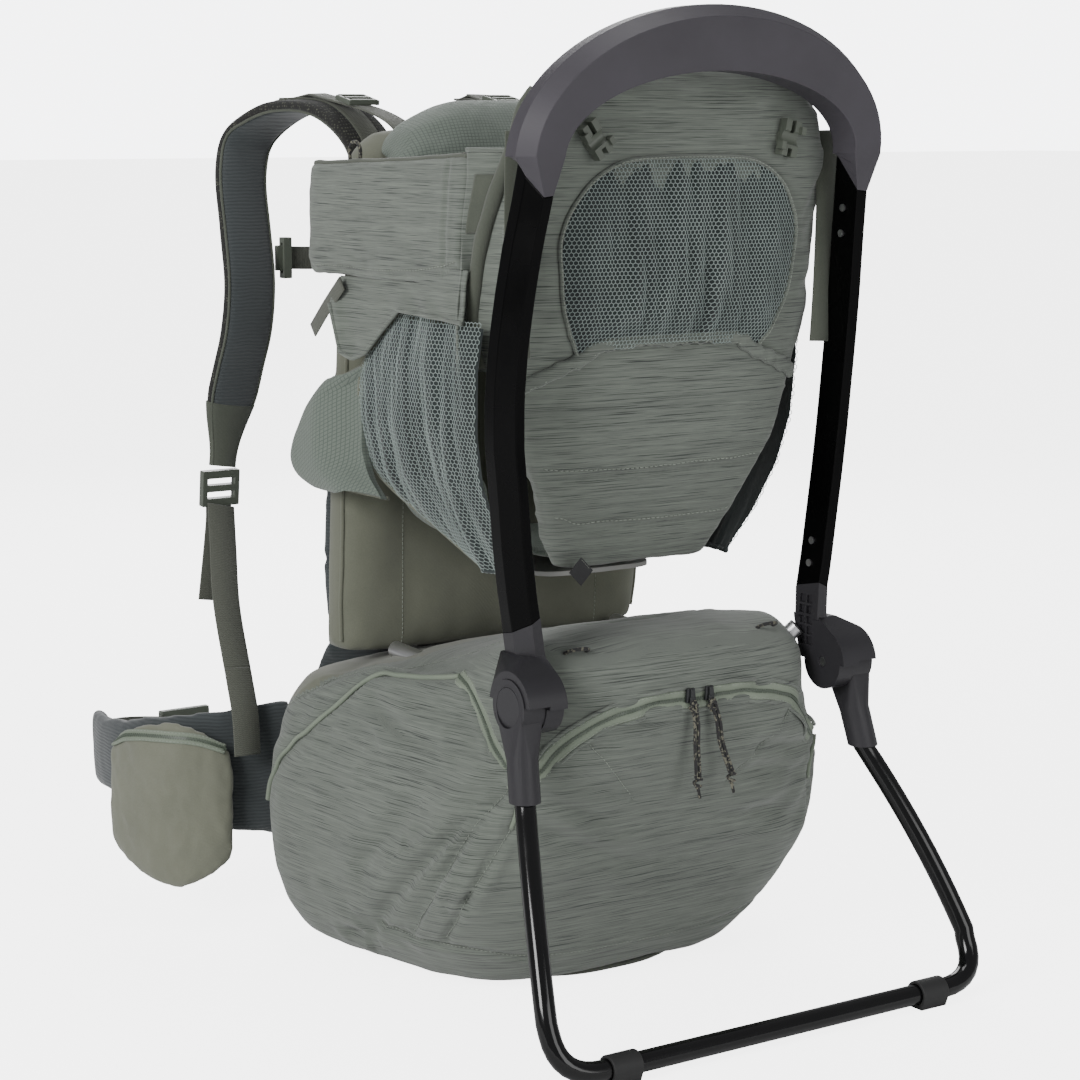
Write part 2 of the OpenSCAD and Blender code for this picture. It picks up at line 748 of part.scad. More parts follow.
module strap_webbing() {
    sweep(bar_profile(25, 2), spline([
        [158, 262, 346], [168, 240, 318], [182, 208, 271], [188, 176, 214], [191, 160, 184], [192, 155, 150]
    ], 5));
}
module strap_webbing_right() { color(webbing) strap_webbing(); }
module strap_webbing_left() { color(webbing) mirror_x() strap_webbing(); }

// Sternum strap: sliders on the shoulder straps and a side-release buckle
sternum_y = 252;
sternum_z = 566;
slider_x = 95;
module sternum_sliders() {
    color(webbing) pair_x() translate([slider_x, sternum_y, sternum_z]) difference() {
        cube([8, 9, 36], center = true);
        cube([20, 3.4, 26], center = true);
    }
}

buckle_len = 34;
tongue_len = 20;
module sternum_buckle_female() {
    color(webbing) {
        difference() {
            translate([-buckle_len, sternum_y - 5, sternum_z - 14]) cube([buckle_len, 10, 28]);
            translate([-tongue_len - 2, sternum_y - 3, sternum_z - 11]) cube([tongue_len + 10, 6, 22]);
        }
    }
}
// Webbing from the sliders to the buckle; it shortens when the buckle opens
module sternum_webbing() {
    color(webbing) {
        translate([-slider_x + 3, sternum_y - 1, sternum_z - 10]) cube([slider_x - 3 - buckle_len, 2, 20]);
        translate([17, sternum_y - 1, sternum_z - 10]) cube([slider_x - 20, 2, 20]);
    }
}
module sternum_buckle_male() {
    color(webbing) {
        translate([-tongue_len, sternum_y - 2.6, sternum_z - 10.5]) cube([tongue_len + 2, 5.2, 21]);
        translate([2 - gap, sternum_y - 5, sternum_z - 13]) cube([15, 10, 26]);
    }
}

// ---------- hip belt ----------

wing_z = 132;
wing_path = spline([
    [140, 172, wing_z], [166, 177, wing_z], [196, 188, wing_z], [224, 210, wing_z], [240, 244, wing_z],
    [246, 288, wing_z - 2], [242, 330, wing_z - 4], [230, 360, wing_z - 6]
], 3);
wing_hinge = [140, 172];
// Half height of the wing along its length
function wing_half_h(t) = mix(wing_h / 2, 34, ease(t));
module hip_wing() {
    last = len(wing_path) - 1;
    loft([
        for (i = [0 : last])
            carried(squircle(0, 0, wing_half_h(i / last), wing_t / 2, 4, 20), wing_path, [0, 0, 1])[i]
    ]);
}
module hip_wing_right() { color(pad_blue) hip_wing(); }
module hip_wing_left() { color(pad_blue) mirror_x() hip_wing(); }

pocket_path = spline([
    [199, 165, 106], [222, 176, 106], [243, 196, 106], [259, 228, 106], [267, 264, 106]
], 4);
module hip_pocket() {
    last = len(pocket_path) - 1;
    loft([
        for (i = [0 : last])
            let (s = sin(180 * (i + 1.4) / (last + 2.8)))
            carried(squircle(0, 0, 34 + 42 * s, 3 + 8 * s, 3.4, 20), pocket_path, [0, 0, 1])[i]
    ]);
}
module hip_pocket_right() { color(sage) hip_pocket(); }
module hip_pocket_left() { color(sage) mirror_x() hip_pocket(); }

// Belt webbing from a wing's tip, ending in a buckle half
tail_path = spline([[228, 364, 126], [208, 382, 124], [182, 393, 120], [156, 396, 116]], 5);
module belt_tail() {
    sweep(bar_profile(36, 2.4), tail_path, side = [0, 0, 1]);
}
module hip_buckle_female() {
    color(webbing) mirror_x() {
        belt_tail();
        difference() {
            translate([106, 390, 94]) cube([50, 12, 44]);
            translate([104, 392.5, 99]) cube([34, 7, 34]);
        }
    }
}
module hip_buckle_male() {
    color(webbing) {
        belt_tail();
        translate([134, 390, 94]) cube([22, 12, 44]);
        translate([106, 393, 110]) cube([29, 6, 12]);
        for (z = [100, 128])
            translate([108, 393, z]) cube([27, 6, 4]);
    }
}

module care_tag() {
    color(black) translate([-66, -147, 334]) rotate([8, 45, 0]) cube([16, 1, 16], center = true);
}

handle_arch();
upright_left();
upright_right();
frame_screws();
hinge_housing_left();
hinge_housing_right();
leg_socket_left();
leg_socket_right();
pivot_pins();
pivot_caps();
stand_tube();
stand_feet();
side_rails();
back_frame();
back_panel();
back_padding();
lumbar_pad();
seat_board();
seat_saddle();
seat_wing_left();
seat_wing_right();
rear_seat_panel();
rear_mesh_pocket();
side_mesh_left();
side_mesh_right();
cockpit_band_left();
cockpit_band_right();
face_pad();
child_harness_left();
child_harness_right();
crotch_strap();
harness_buckle();
shade_clip_left();
shade_clip_right();
bag_body();
bag_base_panel();
bag_zip();
zip_slider_left();
zip_slider_right();
cord_loops();
harness_yoke();
shoulder_strap_left();
shoulder_strap_right();
load_lifter_left();
load_lifter_right();
strap_lock_left();
strap_lock_right();
strap_webbing_left();
strap_webbing_right();
sternum_sliders();
sternum_webbing();
sternum_buckle_female();
sternum_buckle_male();
hip_wing_left();
hip_wing_right();
hip_pocket_left();
hip_pocket_right();
hip_buckle_female();
hip_buckle_male();
care_tag();
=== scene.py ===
import json
import math
import random

import bmesh
import bpy
import numpy as np
from mathutils import Matrix, Vector, noise
from mathutils.bvhtree import BVHTree
from mathutils.kdtree import KDTree


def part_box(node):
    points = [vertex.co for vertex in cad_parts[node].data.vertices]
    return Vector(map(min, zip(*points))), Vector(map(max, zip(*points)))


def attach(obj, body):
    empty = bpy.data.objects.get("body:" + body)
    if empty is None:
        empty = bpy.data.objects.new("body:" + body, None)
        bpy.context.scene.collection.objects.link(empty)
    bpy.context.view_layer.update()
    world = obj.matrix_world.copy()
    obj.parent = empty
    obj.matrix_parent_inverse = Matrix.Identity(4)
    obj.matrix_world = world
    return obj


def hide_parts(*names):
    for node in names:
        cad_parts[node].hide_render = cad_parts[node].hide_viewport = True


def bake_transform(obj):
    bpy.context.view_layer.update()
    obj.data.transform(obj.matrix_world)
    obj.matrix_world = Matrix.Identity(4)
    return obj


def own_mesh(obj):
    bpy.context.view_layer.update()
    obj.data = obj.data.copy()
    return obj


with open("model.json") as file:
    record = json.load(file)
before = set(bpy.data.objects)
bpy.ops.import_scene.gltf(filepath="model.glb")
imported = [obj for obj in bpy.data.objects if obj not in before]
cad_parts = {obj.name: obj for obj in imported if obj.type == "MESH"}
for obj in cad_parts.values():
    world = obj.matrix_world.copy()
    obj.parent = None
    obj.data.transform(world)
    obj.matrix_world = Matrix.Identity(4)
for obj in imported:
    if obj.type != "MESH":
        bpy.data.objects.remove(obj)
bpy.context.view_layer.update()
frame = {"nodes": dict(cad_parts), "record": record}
MM = 0.001
X, UP = Vector((1, 0, 0)), Vector((0, 0, 1))
NODES = frame["nodes"]
BODY = {n: b for b, ns in frame["record"]["behaviour"]["bodies"].items() for n in ns}


# ---------- points and curves, in millimetres ----------

def V(*p):
    return Vector(p[0] if len(p) == 1 else p) * MM


def unit(v):
    return v.normalized() if v.length > 1e-12 else Vector((0, 0, 1))


def spline(points, step=4.0):
    """A Catmull-Rom curve through points in mm, as metre vectors about step mm apart."""
    p = [V(q) for q in points]
    out = []
    for i in range(len(p) - 1):
        a, b, c, d = p[max(i - 1, 0)], p[i], p[i + 1], p[min(i + 2, len(p) - 1)]
        n = max(2, int((c - b).length / (step * MM)))
        for k in range(n):
            t = k / n
            out.append(0.5 * (2 * b + (c - a) * t + (2 * a - 5 * b + 4 * c - d) * t * t
                              + (3 * b - a - 3 * c + d) * t ** 3))
    out.append(p[-1])
    return out


def tangent(path, i):
    return unit(path[min(i + 1, len(path) - 1)] - path[max(i - 1, 0)])


def refs_across(path, side):
    """For each path point, the direction square to the path and to side."""
    out = []
    for i in range(len(path)):
        t = tangent(path, i)
        a = unit(side - t * side.dot(t))
        out.append(unit(a.cross(t)))
    return out


def lengths(path):
    """Distance along the path at each of its points."""
    run = [0.0]
    for a, b in zip(path, path[1:]):
        run.append(run[-1] + (b - a).length)
    return run


def lerp_table(x, table):
    xs = [r[0] for r in table]
    return float(np.interp(x, xs, [r[1] for r in table]))


# ---------- meshes ----------

def new_object(name, verts, faces, material, body, uvs=None, smooth=True):
    me = bpy.data.meshes.new(name)
    me.from_pydata([tuple(v) for v in verts], [], faces)
    me.validate()
    if uvs is not None:
        layer = me.uv_layers.new(name="UVMap")
        vi = np.zeros(len(me.loops), np.int32)
        me.loops.foreach_get("vertex_index", vi)
        layer.data.foreach_set("uv", np.array(uvs, np.float32)[vi].ravel())
    me.polygons.foreach_set("use_smooth", [smooth] * len(me.polygons))
    o = bpy.data.objects.new(name, me)
    bpy.context.scene.collection.objects.link(o)
    if material:
        me.materials.append(material)
    if body:
        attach(o, body)
    return o


def frames_along(path, refs):
    """Tangent, side and normal at each path point; refs is one vector or one for each point."""
    out = []
    for i, p in enumerate(path):
        t = tangent(path, i)
        r = refs[i] if isinstance(refs, list) else refs
        n = unit(r - t * r.dot(t))
        out.append((p, t, t.cross(n), n))
    return out


def sweep_data(path, refs, profile, scale=None):
    """Rings of profile (side mm, normal mm) along path; returns verts, faces, uvs."""
    verts, faces, uvs = [], [], []
    n = len(profile)
    run = 0.0
    for i, (p, t, s, up) in enumerate(frames_along(path, refs)):
        if i:
            run += (path[i] - path[i - 1]).length
        k = scale[i] if scale else (1.0, 1.0)
        for a, b in profile:
            verts.append(p + s * (a * k[0] * MM) + up * (b * k[1] * MM))
            uvs.append((a * MM, run))
    for j in range(len(path) - 1):
        for i in range(n):
            m = (i + 1) % n
            faces.append((j * n + i, j * n + m, (j + 1) * n + m, (j + 1) * n + i))
    faces.append(list(range(n))[::-1])
    faces.append([(len(path) - 1) * n + i for i in range(n)])
    return verts, faces, uvs


def sweep(name, path, refs, profile, material, body, scale=None):
    v, f, u = sweep_data(path, refs, profile, scale)
    return new_object(name, v, f, material, body, u)


def many(name, parts, material, body, smooth=True):
    """One object from several (verts, faces, uvs) lots whose faces count from 0."""
    verts, faces, uvs = [], [], []
    for v, f, u in parts:
        b = len(verts)
        verts += v
        uvs += u
        faces += [[i + b for i in q] for q in f]
    return new_object(name, verts, faces, material, body, uvs, smooth)


def circle(r, n=10, ry=None):
    ry = ry or r
    return [(r * math.cos(2 * math.pi * i / n), ry * math.sin(2 * math.pi * i / n)) for i in range(n)]


def strap_profile(w, t, edge=1.0, mid=1.0):
    """A flat webbing section with rounded edges and a slight rise in the middle."""
    h = t / 2
    e = min(edge, h)
    return [(-w / 2, -h + e), (-w / 2 + e, -h), (0, -h), (w / 2 - e, -h), (w / 2, -h + e), (w / 2, h - e),
            (w / 2 - e, h), (w * 0.25, h * mid), (0, h * mid), (-w * 0.25, h * mid), (-w / 2 + e, h),
            (-w / 2, h - e)]


def box_data(c, half, rot=None, taper=1.0):
    """A block with its centre and half sizes in mm."""
    v, f = [], [(0, 1, 3, 2), (4, 6, 7, 5), (0, 4, 5, 1), (2, 3, 7, 6), (0, 2, 6, 4), (1, 5, 7, 3)]
    for x in (-1, 1):
        for y in (-1, 1):
            for z in (-1, 1):
                k = taper if z > 0 else 1.0
                q = Vector((x * half[0] * k, y * half[1] * k, z * half[2]))
                v.append(((rot @ q) if rot else q) * MM + V(c))
    return v, f, [(p.x, p.z) for p in v]


def bevel(o, width=0.8, segments=2, angle=30):
    m = o.modifiers.new("soft edges", "BEVEL")
    m.width = width * MM
    m.segments = segments
    m.limit_method = "ANGLE"
    m.angle_limit = math.radians(angle)
    m.use_clamp_overlap = True
    return o


def subdivided(o):
    m = o.modifiers.new("sub", "SUBSURF")
    m.levels = m.render_levels = 1
    return o


def stands_for(o, node):
    """The piece replaces the CAD node, which is hidden."""
    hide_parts(node)
    return o


def finish_hard(o, width):
    """Smooth shading with soft edges on a CAD node; its own vertices stay as they are."""
    me = o.data
    if "custom_normal" in me.attributes:
        me.attributes.remove(me.attributes["custom_normal"])
    me.polygons.foreach_set("use_smooth", [True] * len(me.polygons))
    me.edges.foreach_set("use_edge_sharp", [False] * len(me.edges))
    weld = o.modifiers.new("join", "WELD")
    weld.merge_threshold = 2e-5
    m = bevel(o, max(width, 0.05), 2, 28).modifiers[-1]
    m.harden_normals = True


# ---------- surfaces that other pieces lie on ----------

def tree_of(*objs):
    verts, polys = [], []
    for o in objs:
        b = len(verts)
        verts += [o.matrix_world @ v.co for v in o.data.vertices]
        polys += [[b + i for i in p.vertices] for p in o.data.polygons]
    return BVHTree.FromPolygons(verts, polys)


def lay(tree, points, lift=0.0, rounds=2, step=4.0):
    """A curve through points, laid on the surface: positions and normals."""
    raw = spline(points, step)
    pos, nor = [], []
    for p in raw:
        hit = tree.find_nearest(p)
        pos.append(hit[0])
        nor.append(hit[1])
    for _ in range(rounds):
        inner = range(1, len(pos) - 1)
        pos = [pos[0]] + [(pos[i - 1] + 2 * pos[i] + pos[i + 1]) / 4 for i in inner] + [pos[-1]]
        nor = [nor[0]] + [unit(nor[i - 1] + 2 * nor[i] + nor[i + 1]) for i in inner] + [nor[-1]]
    return [p + n * (lift * MM) for p, n in zip(pos, nor)], nor


def stitch_rows(name, rows, material, body, pitch=4.2, length=2.9, r=0.42):
    """Rows of thread stitches; each row is (positions, normals) on a surface."""
    parts = []
    for pos, nor in rows:
        run = lengths(pos)
        n = int(run[-1] / (pitch * MM))
        for k in range(n):
            ends = []
            for s in (k * pitch, k * pitch + length):
                x = min(s * MM, run[-1])
                i = min(int(np.searchsorted(run, x)), len(pos) - 1)
                i = max(i, 1)
                t = (x - run[i - 1]) / max(run[i] - run[i - 1], 1e-9)
                ends.append((pos[i - 1].lerp(pos[i], t), nor[i]))
            (a, na), (b, nb) = ends
            mid = (a + b) / 2 + na * (0.25 * MM)
            parts.append(sweep_data([a - na * (0.2 * MM), mid, b - nb * (0.2 * MM)], na, circle(r, 5)))
    return many(name, parts, material, body)


def kd_tree(points):
    kd = KDTree(len(points))
    for i, p in enumerate(points):
        kd.insert(p, i)
    kd.balance()
    return kd


def near_fn(curves):
    """Distance in mm from a point to the nearest of the sampled curves."""
    kd = kd_tree([p for c in curves for p in c])
    return lambda p: kd.find(p)[2] / MM


def coords(o):
    co = np.zeros(len(o.data.vertices) * 3)
    o.data.vertices.foreach_get("co", co)
    return co.reshape(-1, 3)


def set_coords(o, co):
    o.data.vertices.foreach_set("co", np.asarray(co, np.float32).ravel())
    o.data.update()


def normals(o):
    n = np.zeros(len(o.data.vertices) * 3)
    o.data.vertices.foreach_get("normal", n)
    return n.reshape(-1, 3)


def push(o, fn):
    """Moves each vertex along its normal by fn(point mm, normal) mm."""
    co, no = coords(o), normals(o)
    d = np.array([fn(c / MM, n) for c, n in zip(co, no)])
    set_coords(o, co + no * d[:, None] * MM)


def groove(o, curves, width=3.0, depth=1.6, lip=0.35):
    """Presses seams into the piece along the curves, with a raised lip beside each."""
    near = near_fn(curves)

    def f(p, n):
        d = near(Vector(p) * MM)
        return -depth * math.exp(-(d / width) ** 2) + lip * math.exp(-((d - 2.2 * width) / width) ** 2)

    push(o, f)


def baked(o, name):
    """A plain mesh object of o as its modifiers leave it."""
    dg = bpy.context.evaluated_depsgraph_get()
    me = bpy.data.meshes.new_from_object(o.evaluated_get(dg))
    new = bpy.data.objects.new(name, me)
    bpy.context.scene.collection.objects.link(new)
    old = o.data
    bpy.data.objects.remove(o)
    if old.users == 0:
        bpy.data.meshes.remove(old)
    return new


def relax(o, rounds):
    axes = {"use_axis_" + a: True for a in "xyz"}
    bm = bmesh.new()
    bm.from_mesh(o.data)
    for _ in range(rounds):
        bmesh.ops.smooth_vert(bm, verts=bm.verts, factor=0.5, **axes)
    bm.to_mesh(o.data)
    bm.free()


def remeshed(node, name, voxel):
    """An even mesh of the node's solid, slightly smoothed."""
    o = bpy.data.objects.new(name + "_raw", NODES[node].data.copy())
    bpy.context.scene.collection.objects.link(o)
    m = o.modifiers.new("voxels", "REMESH")
    m.mode = "VOXEL"
    m.voxel_size = voxel * MM
    o = baked(o, name)
    o.data.materials.clear()
    relax(o, 3)
    return o


SIM_FRAMES = 15
TENSION = 15.0


def puff(node, name, material, voxel=5.0, pressure=4.0, cap=8.0, shrink=1.5, pins=(), pin_r=6.0, hold=None):
    """A sewn cushion: the node's remeshed solid, blown up by a cloth simulation and held along its seams."""
    o = remeshed(node, name, voxel)
    start = coords(o)
    no = normals(o)
    set_coords(o, start - no * shrink * MM)
    near = near_fn(pins) if pins else None
    weights = []
    for c, n in zip(start, no):
        w = 0.0
        if near:
            d = near(Vector(c))
            w = max(0.0, min(1.0, 1.5 - d / pin_r))
        if hold and hold(c / MM, n):
            w = 1.0
        weights.append(w)
    group = o.vertex_groups.new(name="pin")
    for i, w in enumerate(weights):
        if w > 0:
            group.add([i], w, "REPLACE")
    m = o.modifiers.new("cloth", "CLOTH")
    s = m.settings
    s.quality = 3
    s.use_pressure = True
    s.uniform_pressure_force = pressure
    s.tension_stiffness = TENSION
    s.compression_stiffness = TENSION
    s.shear_stiffness = 5
    s.bending_stiffness = 0.6
    s.vertex_group_mass = "pin"
    s.effector_weights.gravity = 0.0
    m.point_cache.frame_end = SIM_FRAMES
    scene = bpy.context.scene
    for f in range(1, SIM_FRAMES + 1):
        scene.frame_set(f)
    dg = bpy.context.evaluated_depsgraph_get()
    ev = o.evaluated_get(dg)
    co = np.zeros(len(ev.data.vertices) * 3)
    ev.data.vertices.foreach_get("co", co)
    co = co.reshape(-1, 3)
    o.modifiers.clear()
    scene.frame_set(1)
    delta = co - start
    size = np.linalg.norm(delta, axis=1)
    far = size > cap * MM
    delta[far] *= (cap * MM / size[far])[:, None]
    set_coords(o, start + delta)
    relax(o, 1)
    o = baked(subdivided(o), name)
    o.data.polygons.foreach_set("use_smooth", [True] * len(o.data.polygons))
    o.data.materials.append(material)
    return o


def settle(o, node):
    """Puts the piece on the node's body and lets it stand for it."""
    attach(o, BODY[node])
    return stands_for(o, node)


# ---------- materials ----------

def rgba(c):
    return (*c, 1) if isinstance(c, tuple) and len(c) == 3 else c


class Mat:
    """A material with a Principled shader and short ways to add nodes to it."""

    def __init__(self, name, rough=0.5, sheen=0.0, metal=0.0):
        self.m = bpy.data.materials.new(name)
        self.m.use_nodes = True
        self.t = self.m.node_tree
        self.b = self.t.nodes["Principled BSDF"]
        self.b.inputs["Roughness"].default_value = rough
        self.b.inputs["Metallic"].default_value = metal
        self.b.inputs["Sheen Weight"].default_value = sheen
        self.b.inputs["Sheen Roughness"].default_value = 0.6

    def n(self, kind, ins=None, **kw):
        node = self.t.nodes.new("ShaderNode" + kind)
        for k, v in kw.items():
            setattr(node, k, v)
        for k, v in (ins or {}).items():
            self.put(node.inputs[k], v)
        return node

    def put(self, socket, v):
        if hasattr(v, "is_output") or isinstance(v, bpy.types.NodeSocket):
            self.t.links.new(v, socket)
        elif isinstance(v, bpy.types.Node):
            self.t.links.new(v.outputs[0], socket)
        else:
            socket.default_value = v

    def math(self, op, a, b=0.0, clamp=False):
        return self.n("Math", {0: a, 1: b}, operation=op, use_clamp=clamp).outputs[0]

    def times(self, a, b, clamp=False):
        return self.math("MULTIPLY", a, b, clamp)

    def add(self, a, b):
        return self.math("ADD", a, b)

    def wave(self, a):
        return self.math("SINE", a)

    def size(self, a):
        return self.math("ABSOLUTE", a)

    def split(self, vec):
        return self.n("SeparateXYZ", {0: vec}).outputs

    def choose(self, k, a, b):
        """a where k is 0, b where k is 1."""
        node = self.n("Mix", data_type="FLOAT")
        self.put(node.inputs[0], k)
        self.put(node.inputs[2], a)
        self.put(node.inputs[3], b)
        return node.outputs[0]

    def coord(self, which="Object"):
        return self.n("TexCoord").outputs[which]

    def scaled(self, vec, s):
        return self.n("Mapping", {"Vector": vec, "Scale": s}).outputs[0]

    def noise(self, vec, scale, detail=3.0, rough=0.55):
        ins = {"Vector": vec, "Scale": scale, "Detail": detail, "Roughness": rough}
        return self.n("TexNoise", ins).outputs["Fac"]

    def ramp(self, fac, stops):
        node = self.n("ValToRGB", {"Fac": fac})
        r = node.color_ramp
        while len(r.elements) < len(stops):
            r.elements.new(0.5)
        for e, (p, c) in zip(r.elements, stops):
            e.position = p
            e.color = rgba(c)
        return node.outputs["Color"]

    def grey(self, fac, a, b):
        return self.n("MapRange", {"Value": fac, "From Min": a, "From Max": b}).outputs["Result"]

    def mix(self, fac, a, b):
        node = self.n("Mix", data_type="RGBA")
        self.put(node.inputs[0], fac)
        self.put(node.inputs[6], rgba(a))
        self.put(node.inputs[7], rgba(b))
        return node.outputs[2]

    def colour(self, c):
        self.put(self.b.inputs["Base Color"], rgba(c))
        return self

    def rough(self, r):
        self.put(self.b.inputs["Roughness"], r)
        return self

    def bump(self, height, strength=0.3, dist=0.3):
        node = self.n("Bump", {"Height": height, "Strength": strength, "Distance": dist * MM})
        self.put(self.b.inputs["Normal"], node.outputs[0])
        return self


def sides(m):
    """Object coordinates whose last axis runs up a wall and across a top."""
    nz = m.split(m.n("NewGeometry").outputs["Normal"])[2]
    k = m.grey(m.size(nz), 0.72, 0.86)
    x, y, z = m.split(m.coord())
    return m.n("CombineXYZ", {0: x, 1: y, 2: m.choose(k, z, y)}).outputs[0]


def heather_cloth(name, light, mid, dark):
    """Woven cloth with long thin streaks of lighter and darker yarn."""
    m = Mat(name, 0.88, 0.2)
    c = sides(m)
    fine = m.noise(m.scaled(c, (34, 34, 2600)), 1.0, 3.0, 0.7)
    broad = m.noise(m.scaled(c, (9, 9, 620)), 1.0, 2.0, 0.5)
    rare = m.noise(m.scaled(c, (20, 20, 1900)), 1.0, 2.0, 0.5)
    base = m.ramp(fine, [(0.34, mid), (0.60, light)])
    base = m.mix(m.times(m.grey(broad, 0.60, 0.38), 0.6, True), base, mid)
    base = m.mix(m.times(m.grey(rare, 0.575, 0.65), 0.95, True), base, dark)
    m.colour(base)
    weave = m.noise(m.coord(), 1500, 2.0)
    m.bump(m.add(m.times(fine, 0.8), m.times(weave, 0.5)), 0.45, 0.35)
    return m.m


def plain_cloth(name, a, b, scale=900, sheen=0.2, rough=0.85, strength=0.25):
    """Even cloth that wanders between two colours, with a fine diagonal weave."""
    m = Mat(name, rough, sheen)
    c = m.coord()
    cloud = m.noise(c, 22, 3.0)
    fine = m.noise(c, scale, 2.0)
    m.colour(m.mix(m.grey(m.add(m.times(cloud, 0.6), m.times(fine, 0.4)), 0.35, 0.65), a, b))
    ins = {"Vector": m.scaled(c, (1, 1, 1)), "Scale": 190.0, "Distortion": 0.6, "Detail": 1.0}
    weave = m.n("TexWave", ins, bands_direction="DIAGONAL").outputs["Fac"]
    m.bump(m.add(fine, m.times(weave, 0.35)), strength, 0.25)
    return m.m


def grid_cloth(name, a, b, pitch=3.2):
    """A square grid of small raised cells."""
    m = Mat(name, 0.8, 0.2)
    x, y, z = m.split(m.coord())
    k = math.pi / (pitch * MM)
    normal = m.split(m.n("NewGeometry").outputs["Normal"])
    side = m.math("GREATER_THAN", m.size(normal[0]), 0.6)
    across = m.size(m.wave(m.times(m.choose(side, x, y), k)))
    up = m.size(m.wave(m.times(m.add(z, m.times(y, 0.6)), k)))
    f = m.grey(m.math("MINIMUM", across, up), 0.05, 0.5)
    m.colour(m.mix(f, b, a))
    m.bump(f, 0.6, 0.4)
    return m.m


def rib_cloth(name, a, b, pitch):
    """Soft padding with fine horizontal ribs."""
    m = Mat(name, 0.8, 0.3)
    height = m.split(m.coord())[2]
    wander = m.times(m.noise(m.coord(), 45, 2.0), 0.004)
    ribs = m.wave(m.times(m.add(height, wander), 2 * math.pi / (pitch * MM)))
    fine = m.noise(m.coord(), 1100, 2.0)
    f = m.grey(m.add(ribs, m.times(fine, 0.9)), -0.8, 1.4)
    m.colour(m.mix(f, b, a))
    m.bump(m.add(m.times(ribs, 0.5), m.times(fine, 0.4)), 0.5, 0.5)
    return m.m


def knit_cloth(name, base, dot, pitch=2.6):
    """Spacer knit: dark with small light loops."""
    m = Mat(name, 0.9, 0.1)
    v = m.n("TexVoronoi", {"Vector": m.coord(), "Scale": 1000 / pitch, "Randomness": 0.35})
    f = m.grey(v.outputs["Distance"], 0.42, 0.18)
    cloud = m.noise(m.coord(), 160, 2.0)
    m.colour(m.mix(m.times(f, m.grey(cloud, 0.35, 0.6)), base, dot))
    m.bump(f, 0.6, 0.6)
    return m.m


def webbing_cloth(name, a, b, pitch=1.6):
    """Woven tape with small chevrons; the piece's UVs run across and along it."""
    m = Mat(name, 0.75, 0.15)
    uv = m.split(m.coord("UV"))
    k = 2 * math.pi / (pitch * MM)
    zig = m.size(m.wave(m.times(uv[0], k / 4)))
    rows = m.wave(m.add(m.times(uv[1], k), m.times(zig, 2.5)))
    fine = m.noise(m.coord(), 900, 2.0)
    f = m.grey(m.add(rows, fine), -0.8, 1.6)
    m.colour(m.mix(f, b, a))
    m.bump(rows, 0.5, 0.35)
    return m.m


def cord_cloth(name, a, b):
    m = Mat(name, 0.8, 0.1)
    v = m.n("TexVoronoi", {"Vector": m.coord(), "Scale": 620.0, "Randomness": 0.8})
    m.colour(m.mix(m.grey(v.outputs["Color"], 0.62, 0.7), a, b))
    m.bump(v.outputs["Distance"], 0.6, 0.5)
    return m.m


def plastic(name, col, rough=0.42, grain=0.12, scale=1800, spec=0.5):
    """Moulded or painted surface with a fine grain and faint wear."""
    m = Mat(name, rough)
    fine = m.noise(m.coord(), scale, 2.0)
    wear = m.noise(m.coord(), 14, 4.0)
    m.colour(m.mix(m.grey(wear, 0.3, 0.7), tuple(x * 0.9 for x in col), tuple(min(1, x * 1.12) for x in col)))
    ins = {"Value": wear, "From Min": 0.3, "From Max": 0.7, "To Min": rough - 0.05, "To Max": rough + 0.06}
    m.rough(m.n("MapRange", ins).outputs["Result"])
    m.b.inputs["Specular IOR Level"].default_value = spec
    m.bump(fine, grain, 0.12)
    return m.m


HEATHER = heather_cloth("heather cloth", (0.156, 0.177, 0.148), (0.088, 0.100, 0.085), (0.014, 0.018, 0.016))
SAGE = plain_cloth("sage cloth", (0.098, 0.104, 0.074), (0.122, 0.128, 0.092))
OLIVE = plain_cloth("olive cloth", (0.050, 0.058, 0.042), (0.068, 0.076, 0.056))
GRID = grid_cloth("grid cloth", (0.125, 0.152, 0.125), (0.066, 0.086, 0.070))
# Dark teal lining, darkened further as painted shade: the dark behind the nets is partly the cloth's own
# colour and partly painted shade.
TEAL_WITH_PAINTED_SHADE = plain_cloth("teal lining", (0.007, 0.011, 0.011), (0.018, 0.028, 0.027), 700)
MESH = plain_cloth("mesh yarn", (0.20, 0.245, 0.23), (0.27, 0.32, 0.30), 900, 0.1, 0.6)
RIB = rib_cloth("ribbed padding", (0.029, 0.037, 0.039), (0.016, 0.022, 0.024), 3.0)
KNIT = knit_cloth("spacer knit", (0.008, 0.008, 0.007), (0.075, 0.078, 0.055))
WEB = webbing_cloth("webbing", (0.088, 0.094, 0.072), (0.046, 0.050, 0.038))
TAPE = plain_cloth("zip tape", (0.150, 0.180, 0.135), (0.180, 0.212, 0.160), 1200, 0.1, 0.75, 0.15)
THREAD = plain_cloth("thread", (0.20, 0.225, 0.19), (0.26, 0.285, 0.24), 1500, 0.1, 0.6)
TEETH = plastic("zip teeth", (0.085, 0.105, 0.08), 0.4)
CORD = cord_cloth("cord", (0.008, 0.008, 0.008), (0.13, 0.125, 0.09))
ARCH = plastic("charcoal moulding", (0.054, 0.050, 0.058), 0.5, 0.35, 2600, 0.25)
HOUSING = plastic("dark moulding", (0.024, 0.023, 0.026), 0.42, 0.3, 2600, 0.3)
BLACK = plastic("gloss black", (0.0012, 0.0012, 0.0013), 0.26, 0.02, 300, 0.08)
STEELBLACK = plastic("powder coat", (0.003, 0.003, 0.0032), 0.14, 0.03, 900, 0.4)
RUBBER = plastic("rubber", (0.012, 0.012, 0.012), 0.65, 0.3)
BUCKLE = plastic("buckle plastic", (0.090, 0.102, 0.082), 0.36, 0.15, 1800, 0.4)
DARK = plastic("dark plastic", (0.012, 0.013, 0.014), 0.38, 0.15)
